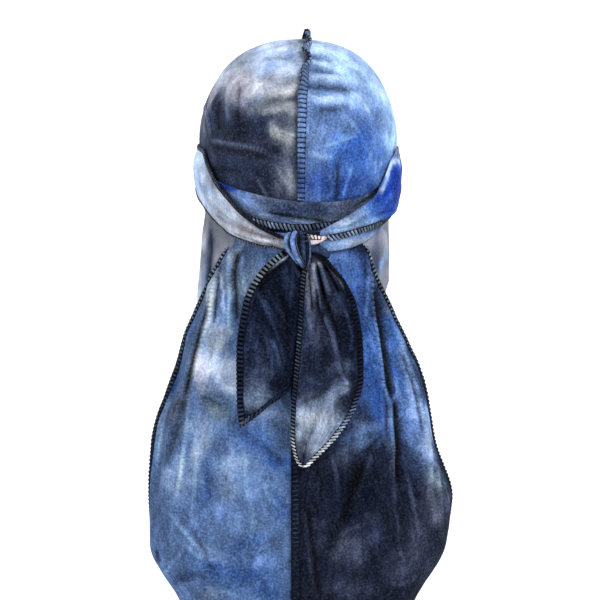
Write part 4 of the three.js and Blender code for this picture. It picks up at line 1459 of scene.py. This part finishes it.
def cloth_piece(name, points, colour, thickness):
    """A sheet laid over a grid of points, painted with its colour (dye with painted highlights and shade),
    and given its thickness.
    """
    rows, columns = points.shape[0] - 1, points.shape[1] - 1
    deselect()
    bpy.ops.mesh.primitive_grid_add(x_subdivisions=columns, y_subdivisions=rows, size=1, location=(0, 0, 0))
    piece = bpy.context.object
    piece.name = name
    piece.data.name = name
    mesh = piece.data
    flat = np.empty(len(mesh.vertices) * 3)
    mesh.vertices.foreach_get("co", flat)
    flat = flat.reshape(-1, 3)
    i = np.rint((flat[:, 0] - flat[:, 0].min()) / np.ptp(flat[:, 0]) * columns).astype(int)
    j = np.rint((flat[:, 1] - flat[:, 1].min()) / np.ptp(flat[:, 1]) * rows).astype(int)
    mesh.vertices.foreach_set("co", (points[j, i] * MM).ravel())
    paint(mesh, colour[j, i])
    across = np.linalg.norm(np.diff(points, axis=1), axis=-1).sum(axis=1).mean()
    down = np.linalg.norm(np.diff(points, axis=0), axis=-1).sum(axis=0).mean()
    scale_cut(mesh, across * MM, down * MM)
    mesh.update()
    wall = piece.modifiers.new("thickness", "SOLIDIFY")
    wall.thickness = thickness * MM
    wall.offset = 0
    wall.use_even_offset = False
    bpy.ops.object.modifier_apply(modifier=wall.name)
    bpy.ops.object.shade_smooth()
    return piece


def along_lengths(line):
    """How far along a line each of its points is."""
    return np.concatenate([[0], np.cumsum(np.linalg.norm(np.diff(line, axis=0), axis=-1))])


def read_line(line, lengths, at):
    """The points of a line at the given lengths along it."""
    return np.stack([np.interp(at, lengths, line[:, k]) for k in range(3)], axis=-1)


LOOP_BENDS = 7

# How unevenly the loops took the dye, and how much painted shade their ends take where they sink into the
# cloth
THREAD_UNEVEN = (0.72, 1.12)
THREAD_END_SHADE = 0.5


def model_thread_loop():
    """One straight length of thread with a ring wherever it will bend, as points and faces."""
    deselect()
    bpy.ops.mesh.primitive_cylinder_add(vertices=6, radius=1, depth=LOOP_BENDS - 1, end_fill_type="NGON")
    loop = bpy.context.object
    select_edges(loop, lambda first, last: abs(first.z - last.z) > 1)
    bpy.ops.mesh.subdivide(number_cuts=LOOP_BENDS - 2)
    bpy.ops.object.mode_set(mode="OBJECT")
    points = np.array([vertex.co[:] for vertex in loop.data.vertices])
    faces = [list(face.vertices) for face in loop.data.polygons]
    bpy.data.objects.remove(loop, do_unlink=True)
    return points, faces


LOOP_POINTS, LOOP_FACES = model_thread_loop()


def loop_path(at_inner, at_edge, up, half_cloth, thread, both_sides):
    """The bends of every loop of thread: over the cloth, round its edge and, where the thread
    shows on both sides, back under it."""
    out = unit(at_edge - at_inner)
    share = lambda s: at_inner + (at_edge - at_inner) * s
    over = half_cloth + 0.6 * thread
    under = -half_cloth if both_sides else 0.2
    bends = [
        share(0) + up * (half_cloth - 0.5 * thread),
        share(0.18) + up * over,
        share(0.5) + up * (over + 0.12),
        share(0.84) + up * over,
        at_edge + out * 0.5 * thread + up * 0.45 * half_cloth,
        at_edge + out * 0.4 * thread + up * under,
        share(0.72) + up * (under - 0.3 * thread),
    ]
    return np.stack(bends, axis=1), np.cross(out, up)


def bend_loops(name, path, side, thread):
    """One mesh of straight loops bent along their paths, and the bend each point belongs to."""
    heading = unit(np.gradient(path, axis=1))
    side = side[:, None, :] + 0 * heading
    side = unit(side - heading * np.sum(side * heading, axis=-1, keepdims=True))
    top = np.cross(heading, side)
    ring = np.rint(LOOP_POINTS[:, 2] + (LOOP_BENDS - 1) / 2).astype(int)
    bent = (
        path[:, ring]
        + side[:, ring] * (LOOP_POINTS[:, 0] * thread)[None, :, None]
        + top[:, ring] * (LOOP_POINTS[:, 1] * thread * 0.75)[None, :, None]
    )
    faces = [[k + n * len(LOOP_POINTS) for k in face] for n in range(len(path)) for face in LOOP_FACES]
    mesh = bpy.data.meshes.new(name)
    mesh.from_pydata((bent.reshape(-1, 3) * MM).tolist(), [], faces)
    mesh.update()
    return mesh, ring


def thread_colour(tones, count, ring):
    """The colour of every point of the loops: the tones in turn, uneven, with painted shade at their ends.
    """
    stops = np.array([dye_colour(tone) for tone in tones] * (2 if len(tones) == 1 else 1))
    tone = read_line(stops, np.linspace(0, 1, len(stops)), (np.arange(count) + 0.5) / count)
    tone *= np.random.RandomState(count).uniform(*THREAD_UNEVEN, (count, 1))
    ends = np.where((ring == 0) | (ring >= LOOP_BENDS - 2), THREAD_END_SHADE, 1.0)
    return np.clip(tone[:, None, :] * ends[None, :, None], 0, 1).reshape(-1, 3)


def sew(
    name, inner, edge, normal, half_cloth,
    pitch=STITCH_PITCH, slant=1.2, thread=THREAD, both_sides=True, tones=("dusk",), rails=(0.4, 0.5),
):
    """Loops of thread over an edge, from a line on the cloth to the edge and round it, and the
    two threads that run along them. The lines run side by side, in mm. The thread took the dye
    with the cloth, so its tones change along the way."""
    lengths = along_lengths(edge)
    count = max(2, int(lengths[-1] / pitch))
    station = (np.arange(count) + 0.5) * lengths[-1] / count
    at_edge = read_line(edge, lengths, station)
    at_inner = read_line(inner, lengths, np.clip(station + slant, 0, lengths[-1]))
    up = unit(read_line(normal, lengths, station))
    path, side = loop_path(at_inner, at_edge, up, half_cloth, thread, both_sides)
    mesh, ring = bend_loops(name, path, side, thread)
    paint(mesh, thread_colour(tones, count, ring))
    piece = bpy.data.objects.new(name, mesh)
    bpy.context.collection.objects.link(piece)
    threads = []
    for line, radius in ((inner + normal * (half_cloth + 0.1), rails[0]), (edge + normal * 0.2, rails[1])):
        run = run_thread(line, radius)
        paint(run.data, np.zeros((len(run.data.vertices), 3)) + dye_colour("black"))
        threads.append(run)
    deselect()
    for part in [*threads, piece]:
        part.select_set(True)
    bpy.context.view_layer.objects.active = piece
    bpy.ops.object.join()
    face_outwards()
    tag(piece, THREAD_FINISH, "seam_cloth")
    return piece


def run_thread(line, radius):
    """A thread that runs along a line."""
    lengths = along_lengths(line)
    count = max(3, int(lengths[-1] / 2.6))
    stops = read_line(line, lengths, np.linspace(0, lengths[-1], count))
    curve = bpy.data.curves.new("thread", "CURVE")
    curve.dimensions = "3D"
    spline = curve.splines.new("POLY")
    spline.points.add(count - 1)
    spline.points.foreach_set("co", np.concatenate([stops * MM, np.ones((count, 1))], axis=1).ravel())
    curve.bevel_depth = radius * MM
    curve.bevel_resolution = 0
    curve.use_fill_caps = True
    piece = bpy.data.objects.new("thread", curve)
    bpy.context.collection.objects.link(piece)
    deselect()
    piece.select_set(True)
    bpy.context.view_layer.objects.active = piece
    bpy.ops.object.convert(target="MESH")
    return bpy.context.object


def border(points, which, inset):
    """A line the given distance in from one edge of a grid, with the grid's normals there."""
    normals = outward(points)
    if which in ("top", "hem"):
        points, normals = points.swapaxes(0, 1), normals.swapaxes(0, 1)
    if which in ("stop", "hem"):
        points, normals = points[:, ::-1], normals[:, ::-1]
    line, up = [], []
    for row, row_normals in zip(points, normals):
        lengths = along_lengths(row)
        line.append(read_line(row, lengths, np.array([min(inset, lengths[-1] * 0.8)]))[0])
        up.append(read_line(row_normals, lengths, np.array([min(inset, lengths[-1] * 0.8)]))[0])
    return np.array(line), np.array(up)


def sew_border(name, points, which, half_cloth, span=(0, 1), width=STITCH_WIDTH, **options):
    """Overlock one edge of a grid, over a span of it."""
    edge, up = border(points, which, 0.0)
    inner, _ = border(points, which, width)
    first, last = int(span[0] * (len(edge) - 1)), int(span[1] * (len(edge) - 1)) + 1
    return sew(name, inner[first:last], edge[first:last], up[first:last], half_cloth, **options)


def roll(name, path, widths, thick, pleats, light, dye, crest):
    """Cloth rolled tight along a path, with sunken pleats along it and both ends tucked in."""
    deselect()
    bpy.ops.mesh.primitive_uv_sphere_add(segments=56, ring_count=44, radius=1, location=(0, 0, 0))
    piece = bpy.context.object
    piece.name = name
    piece.data.name = name
    mesh = piece.data
    ball = np.array([vertex.co[:] for vertex in mesh.vertices])
    share = 0.5 - np.arcsin(np.clip(ball[:, 2], -1, 1)) / np.pi
    around = np.arctan2(ball[:, 1], ball[:, 0])
    fine = catmull(np.array(path, float), 80)
    lengths = along_lengths(fine)
    centre = read_line(fine, lengths, share * lengths[-1])
    heading = unit(read_line(np.gradient(fine, axis=0), lengths, share * lengths[-1]))
    side = unit(np.cross(heading, np.array([0.0, -1.0, 0.0])))
    out = np.cross(side, heading)
    fullness = np.minimum(1, 1.7 * np.sin(np.pi * np.clip(share, 0, 1)) ** 0.5)
    width = np.interp(share, (0, 0.5, 1), widths) * fullness
    depth = thick * fullness
    angle = np.degrees(around) + ROLL_TWIST * (share - 0.5)
    groove = sum((bell(angle - pleat, PLEAT_WIDTH) for pleat in pleats), np.zeros(len(ball)))
    groove = np.clip(groove, 0, 1)
    place = (
        centre
        + side * (np.cos(around) * width * (1 - PLEAT_NARROWS * groove))[:, None]
        + out * (np.sin(around) * depth * (1 - PLEAT_FLATTENS * groove))[:, None]
    )
    mesh.vertices.foreach_set("co", (place * MM).ravel())
    # Painted highlight round the side given by light, painted shade in the pleats and towards the tucked-in
    # end; the clouds are uneven tone
    lit = smooth(np.cos(np.radians(angle - light)), 0.25, 1.0) * (1 - groove)
    colour = mix(dye_colour(dye), dye_colour(crest), lit)
    colour = colour * (1 - PLEAT_SHADE * groove)[:, None] * (1 + 0.2 * clouds(place, 4, 300))[:, None]
    colour = colour * (1 - 0.5 * smooth(share, 0.7, 1))[:, None]
    paint(mesh, np.clip(colour, 0, 1))
    scale_cut(mesh, 0.02, 0.03)
    mesh.update()
    face_outwards()
    return piece


def catmull(stops, count):
    """A smooth line through a few points."""
    padded = np.concatenate([[2 * stops[0] - stops[1]], stops, [2 * stops[-1] - stops[-2]]])
    line = []
    for at in np.linspace(0, len(stops) - 1.000001, count):
        k = int(at)
        t = at - k
        a, b, c, d = padded[k : k + 4]
        square, cube = 2 * a - 5 * b + 4 * c - d, 3 * b - a - 3 * c + d
        line.append(0.5 * (2 * b + (c - a) * t + square * t * t + cube * t**3))
    return np.array(line)


def trace(points, through, where):
    """Lay a line of the view from behind onto a grid: its points in mm and the normals there."""
    line, _ = bend_through(through, 60)
    seen = where & (points[..., 1] < 0)
    place, spots, normals = back_view(points)[seen], points[seen], outward(points)[seen]
    apart = np.linalg.norm(place[None] - line[:, None], axis=-1)
    nearest = np.argsort(apart, axis=1)[:, :6]
    weight = 1 / (np.take_along_axis(apart, nearest, axis=1) + 0.05) ** 2
    weight = (weight / weight.sum(axis=1, keepdims=True))[..., None]
    return (spots[nearest] * weight).sum(axis=1), (normals[nearest] * weight).sum(axis=1)


def bead(points, pitch, height):
    """Cloth that puffs up between the loops of thread that bind it."""
    along = along_lengths(points[:, -1])
    count = int(along[-1] / pitch)
    puff = np.abs(np.cos(np.pi * along * count / along[-1])) ** 0.7
    share = np.linspace(0, 1, points.shape[1])
    across = np.sin(np.pi * share) ** 0.5
    spread = unit(points[:, -1] - points[:, 0])
    lifted = outward(points) * (height * puff[:, None] * across[None, :])[..., None]
    sideways = 0.55 * height * (puff - 0.3)[:, None] * (2 * share[None, :] - 1)
    swell = spread[:, None, :] * sideways[..., None]
    return points + lifted + swell, puff


# The crown

crown_shapes = {}
for name, side, ground, patches, creases, seed in (
    ("crown_left", -1, "plum", CROWN_LEFT_DYE, CROWN_LEFT_CREASES, 11),
    ("crown_right", 1, "steel", CROWN_RIGHT_DYE, CROWN_RIGHT_CREASES, 31),
):
    flat_points = crown_half(side)
    points, shine, shade = press_creases(flat_points, creases, amount=1.3, seed=seed)
    points[:, 0] = flat_points[:, 0]
    front = ("pink_grey", "dusk", "charcoal") if side < 0 else ("sky", "powder", "cornflower")
    colour = finish_colour(soak(points, ground, patches, front=front, seed=seed), shine, shade)
    crown_shapes[name] = cloth_piece(name + "_velvet", points, colour, CLOTH)
tag(crown_shapes["crown_left"], VELVET_LIGHT, "velvet_light", "crown_left")
tag(crown_shapes["crown_right"], VELVET_BLUE, "velvet_blue", "crown_right")

seam_sheet = crown_seam()
seam_points, seam_puff = bead(seam_sheet, SEAM_PITCH, 1.2)
seam_colour = soak(seam_points, "steel", CROWN_RIGHT_DYE, seed=31)
# Painted shade in the dips between the puffs of the seam, and painted highlight on the puffs
seam_colour = seam_colour * (0.3 + 0.65 * seam_puff)[:, None, None]
seam_colour *= 1 - 0.25 * smooth(seam_points[:, :, 2:], -62, -18)
crown_seam_cloth = cloth_piece("crown_seam_velvet", seam_points, seam_colour, SEAM_CLOTH)
tag(crown_seam_cloth, SEAM_VELVET, "seam_cloth", "crown_seam")
crown_stitches = sew(
    "crown_seam_stitches",
    seam_sheet[:, 0],
    seam_sheet[:, -1],
    outward(seam_sheet)[:, 5],
    SEAM_CLOTH / 2 + 0.25,
    pitch=SEAM_PITCH,
    slant=0.0,
    tones=("dusk", "dusk", "charcoal", "storm", "navy", "navy"),
)

# The ties

# How the stretches of a tie that show from behind look: their creases and dye patches, the ground
# under these, the dyes round the front and how far the patches wander
TIE_LOOKS = {
    "tie_left": {
        "last": dict(
            creases=BAND_LEFT_CREASES, patches=BAND_LEFT_DYE, ground="taupe",
            front=("sky", "mist", "powder"), warp=4,
        ),
    },
    "tie_right": {
        "last": dict(
            creases=BAND_RIGHT_CREASES, patches=BAND_RIGHT_DYE, ground="steel",
            front=("deep_royal", "royal", "deep_royal"), warp=4,
        ),
        "under": dict(
            creases=BAND_UNDER_CREASES, patches=BAND_UNDER_DYE, ground="dusk",
            front=("dusk", "steel", "navy"), warp=3,
        ),
    },
}

ties = {}
for name, course, side, ground, seed in (
    ("tie_left", LEFT_TIE, 1, "mist", 51),
    ("tie_right", RIGHT_TIE, -1, "dusk", 71),
):
    shape, turn = tie_band(course, side)
    under = 1 - smooth(np.abs(turn), *UNDER_STRETCH)
    share = dict(last=smooth(turn, *LAST_STRETCH), under=under)
    shine = shade = np.zeros(turn.shape)
    for stretch, look in TIE_LOOKS[name].items():
        shape, crest, hollow = press_creases(shape, look["creases"], amount=share[stretch], seed=seed)
        shine, shade = np.maximum(shine, crest), np.maximum(shade, hollow)
    colour = soak(shape, ground, [], seed=seed)
    for stretch, look in TIE_LOOKS[name].items():
        dyed = {key: look[key] for key in ("ground", "patches", "front", "warp")}
        colour = mix(colour, soak(shape, seed=seed, **dyed), share[stretch])
    if name == "tie_left":
        edge = np.maximum(0.85 * near_edge(shape, "start", 2.2), 0.7 * near_edge(shape, "stop", 1.7))
    else:
        edge = 0.92 * near_edge(shape, "stop", 4.4) * (turn < 260)
    colour = finish_colour(colour, shine, shade, edge)
    ties[name] = (cloth_piece(name + "_velvet", shape, colour, TIE_CLOTH), shape, turn)

left_tie, left_shape, _ = ties["tie_left"]
right_tie, right_shape, right_turn = ties["tie_right"]
tag(left_tie, VELVET_LIGHT, "velvet_light", "tie_left")
tag(right_tie, VELVET_BLUE, "velvet_blue", "tie_right")


def course_span(course, first, last):
    """The shares of a tie's course at which it reaches two turns."""
    start, stop = course[0][0], course[-1][0]
    return (first - start) / (stop - start), (last - start) / (stop - start)


left_tie_stitches = [
    sew_border(
        "tie_left_upper_stitches", left_shape, "start", TIE_CLOTH / 2,
        span=course_span(LEFT_TIE, 150, 352), width=2.3, pitch=2.5, thread=0.55, slant=0.9,
        tones=("ash", "ash", "mist", "ash", "ink"), rails=(0.45, 0.3),
    ),
    sew_border(
        "tie_left_lower_stitches", left_shape, "stop", TIE_CLOTH / 2,
        span=course_span(LEFT_TIE, 150, 350), width=1.7, pitch=2.5, slant=0.6,
        tones=("ash", "ash", "taupe", "taupe"), rails=(0.35, 0.35),
    ),
]
right_tie_stitches = [
    sew_border(
        "tie_right_lower_stitches", right_shape, "stop", TIE_CLOTH / 2,
        span=course_span(RIGHT_TIE, -75, 75), width=4.6, pitch=3.0, slant=2.2, thread=0.9,
        tones=("dusk", "mist", "dusk", "mist", "teal", "mist"), rails=(0.35, 0.45),
    ),
    sew_border(
        "tie_right_front_stitches", right_shape, "stop", TIE_CLOTH / 2,
        span=course_span(RIGHT_TIE, 100, 260), thread=0.7, tones=("dusk", "ash"),
    ),
]

# The line of overlocking that shows on the right tie under its folded edge
inner_line, inner_up = trace(right_shape, ((382, 220.5), (349, 230.5), (327, 235)), right_turn > 285)
outer_line, _ = trace(right_shape, ((381, 225), (350, 235.6), (330, 240)), right_turn > 285)
right_tie_stitches.append(
    sew(
        "tie_right_fold_stitches", inner_line, outer_line, inner_up, TIE_CLOTH / 2 + 0.1,
        pitch=3.1, slant=1.6, thread=0.85, both_sides=False, tones=("ash", "teal", "mist", "mist"),
    )
)

# The cape

capes = {}
for name, side, ground, patches, creases, seed in (
    ("cape_left", -1, "denim", CAPE_LEFT_DYE, CAPE_LEFT_CREASES, 91),
    ("cape_right", 1, "midnight", CAPE_RIGHT_DYE, CAPE_RIGHT_CREASES, 111),
):
    flat_points = cape_half(side)
    points, shine, shade = press_creases(flat_points, creases, amount=1.5, seed=seed)
    points[:, 0] = flat_points[:, 0]
    front = ("cornflower", "mist", "royal") if side < 0 else ("navy", "plum", "dusk")
    colour = soak(points, ground, patches, front=front, seed=seed, warp=9)
    colour = finish_colour(colour, shine, shade, 0.9 * near_edge(points, "stop", 3.9))
    capes[name] = (cloth_piece(name + "_velvet", points, colour, CLOTH), points)
left_cape, left_points = capes["cape_left"]
right_cape, right_points = capes["cape_right"]
tag(left_cape, VELVET_BLUE, "velvet_blue", "cape_left")
tag(right_cape, VELVET_DARK, "velvet_dark", "cape_right")
for cape, points, name in ((left_cape, left_points, "left"), (right_cape, right_points, "right")):
    tones = ("mist", "teal", "dusk", "storm", "dusk", "storm", "dusk")
    hem_tones = ("dusk", "storm") if name == "left" else ("navy", "charcoal")
    edge_stitches = sew_border(
        f"cape_{name}_edge_stitches", points, "stop", CLOTH / 2, thread=0.75, pitch=3.2, tones=tones
    )
    hem_stitches = sew_border(
        f"cape_{name}_hem_stitches", points, "hem", CLOTH / 2, thread=0.7, tones=hem_tones
    )

strip_sheet = cape_seam()
strip, _ = bead(strip_sheet, STITCH_PITCH, 0.6)
strip_colour = soak(strip, "midnight", CAPE_RIGHT_DYE, front=("navy", "plum", "dusk"), seed=111)
strip_colour = 0.45 * strip_colour + 0.55 * dye_colour("ink")
cape_seam_cloth = cloth_piece("cape_seam_velvet", strip, strip_colour, SEAM_CLOTH)
tag(cape_seam_cloth, SEAM_VELVET, "seam_cloth", "cape_seam")
cape_stitches = sew(
    "cape_seam_stitches", strip[:, 0], strip[:, -1], outward(strip_sheet)[:, 5], SEAM_CLOTH / 2 + 0.1,
    slant=0.6, tones=("charcoal", "ink", "charcoal", "storm", "ink", "charcoal"),
)

# The side falls

for name, size, patches, flat, area in (
    ("side_fall_left", dict(side=-1, length=108, spread=9), FALL_LEFT_DYE, (0.07, 0.108), 0.006),
    ("side_fall_right", dict(side=1, length=78, spread=1.5), FALL_RIGHT_DYE, (0.05, 0.078), 0.0032),
):
    shape, shine, shade = press_creases(side_fall(**size), FALL_CREASES, seed=130)
    colour = soak(shape, "taupe", patches, front=("taupe", "mist", "ash"), seed=130, warp=4)
    fall = cloth_piece(name + "_velvet", shape, finish_colour(colour, shine, shade), CLOTH)
    tag(fall, VELVET_REVERSE, "velvet_reverse", name)

# The tie ends

END_STITCHES = {
    "tie_end_left": {
        "start": dict(
            width=4.6, pitch=3.3, thread=0.95, slant=1.8,
            tones=("teal", "olive", "teal", "storm", "navy", "charcoal", "navy", "charcoal", "dusk"),
        ),
        "hem": dict(width=3.6, pitch=3.2, thread=0.8, slant=1.6, tones=("dusk", "charcoal", "navy")),
    },
    "tie_end_right": {
        "start": dict(
            width=3, pitch=2.7, thread=0.6, slant=1.4,
            tones=("ash", "plum", "charcoal", "dusk", "ash", "charcoal", "dusk", "stone", "cream"),
        ),
        "stop": dict(
            width=3.6, pitch=3.0, thread=0.75, slant=1.6,
            tones=("charcoal", "ink", "navy", "ink", "navy", "storm", "mist", "stone", "cream"),
        ),
    },
}
for name, settings, ground, patches, creases, flat, area, seed in (
    ("tie_end_left", LEFT_END, "ink", END_LEFT_DYE, END_LEFT_CREASES, (0.05, 0.133), 0.0048, 150),
    ("tie_end_right", RIGHT_END, "midnight", END_RIGHT_DYE, END_RIGHT_CREASES, (0.06, 0.15), 0.0067, 170),
):
    shape, shine, shade = press_creases(tie_end(settings), creases, amount=1.3, seed=seed)
    colour = soak(shape, ground, patches, seed=seed, warp=4)
    edge = np.zeros(shape.shape[:2])
    for which, look in END_STITCHES[name].items():
        edge = np.maximum(edge, 0.92 * near_edge(shape, which, look["width"]))
    colour = finish_colour(colour, shine, shade, edge)
    end = cloth_piece(name + "_velvet", shape, colour, CLOTH)
    tag(end, VELVET_DARK, "velvet_dark", name)
    stitches = [
        sew_border(f"{name}_{which}_stitches", shape, which, CLOTH / 2, span=(0.01, 0.99), **look)
        for which, look in END_STITCHES[name].items()
    ]

# The knot

for name, settings in KNOT_ROLLS.items():
    dark = settings["dye"] in ("navy", "ink")
    material, slot = (VELVET_DARK, "velvet_dark") if dark else (VELVET_BLUE, "velvet_blue")
    tag(roll(name, **settings), material, slot, "knot")
for name, settings in KNOT_STITCHES.items():
    lines = [catmull(np.array(settings.pop(line), float), KNOT_STEPS) for line in ("inner", "edge")]
    facing = np.zeros((KNOT_STEPS, 3)) + np.array([0, -1.0, 0])
    sew(name, *lines, facing, 0.3, both_sides=False, rails=(0.3, 0.3), **settings)

# The studio, in metres: paper that bends up from the floor into a wall, and soft white light

FLOOR_LEVEL = -0.95
FLOOR_HALF_WIDTH = 4
FLOOR_NEAR = -3
FLOOR_FAR = 2.6
WALL_RISE = 4
WALL_BEND = 1.2
PAPER_GLOW = 0.42
AIR_GLOW = 0.5
LIGHT_AIM = np.array([0, 0, -0.15])

deselect()
bpy.ops.mesh.primitive_plane_add(size=1, location=(0, 0, 0))
floor = bpy.context.object
floor.name = "studio_floor"
floor_corners = [
    (x, y, FLOOR_LEVEL) for y in (FLOOR_NEAR, FLOOR_FAR) for x in (-FLOOR_HALF_WIDTH, FLOOR_HALF_WIDTH)
]
floor.data.vertices.foreach_set("co", np.array(floor_corners, float).ravel())
floor.data.update()
select_edges(floor, lambda first, last: min(first.y, last.y) > 0)
bpy.ops.mesh.extrude_region_move(TRANSFORM_OT_translate={"value": (0, 0, WALL_RISE)})
bpy.ops.object.mode_set(mode="OBJECT")
select_edges(floor, lambda first, last: min(first.y, last.y) > 0 and max(first.z, last.z) < 0)
bpy.ops.mesh.bevel(offset=WALL_BEND, segments=16, affect="EDGES")
bpy.ops.object.mode_set(mode="OBJECT")
bpy.ops.object.shade_smooth()
paper, _, _ = new_finish(
    "studio paper",
    Base_Color=(0.93, 0.93, 0.93, 1),
    Roughness=0.9,
    Emission_Color=(1, 1, 1, 1),
    Emission_Strength=PAPER_GLOW,
)
floor.data.materials.append(paper)

world = bpy.data.worlds.new("studio air")
bpy.context.scene.world = world
world.use_nodes = True
air = world.node_tree.nodes["Background"]
air.inputs["Color"].default_value = (1, 1, 1, 1)
air.inputs["Strength"].default_value = AIR_GLOW


def soft_light(name, place, size, power):
    """A round softbox that is aimed at the durag."""
    deselect()
    bpy.ops.object.light_add(type="AREA", location=place)
    lamp = bpy.context.object
    lamp.name = name
    lamp.data.shape = "DISK"
    lamp.data.size = size
    lamp.data.energy = power
    aim = LIGHT_AIM - np.array(place)
    lamp.rotation_euler = (
        np.arctan2(np.hypot(aim[0], aim[1]), -aim[2]),
        0,
        np.arctan2(aim[0], -aim[1]) + np.pi,
    )


soft_light("softbox_upper_right", (0.9, -1.3, 1.0), 0.8, 40)
soft_light("softbox_left", (-1.4, -1.0, 0.3), 1.2, 13)

eye, _, _ = camera_axes()
bpy.ops.object.camera_add(location=tuple(eye * MM), rotation=(np.pi / 2 - CAMERA_DROP, 0, 0))
camera = bpy.context.object
camera.name = "camera_behind"
camera.data.lens = CAMERA_LENS
camera.data.sensor_width = CAMERA_SENSOR
bpy.context.scene.camera = camera
bpy.context.scene.view_settings.view_transform = "Standard"
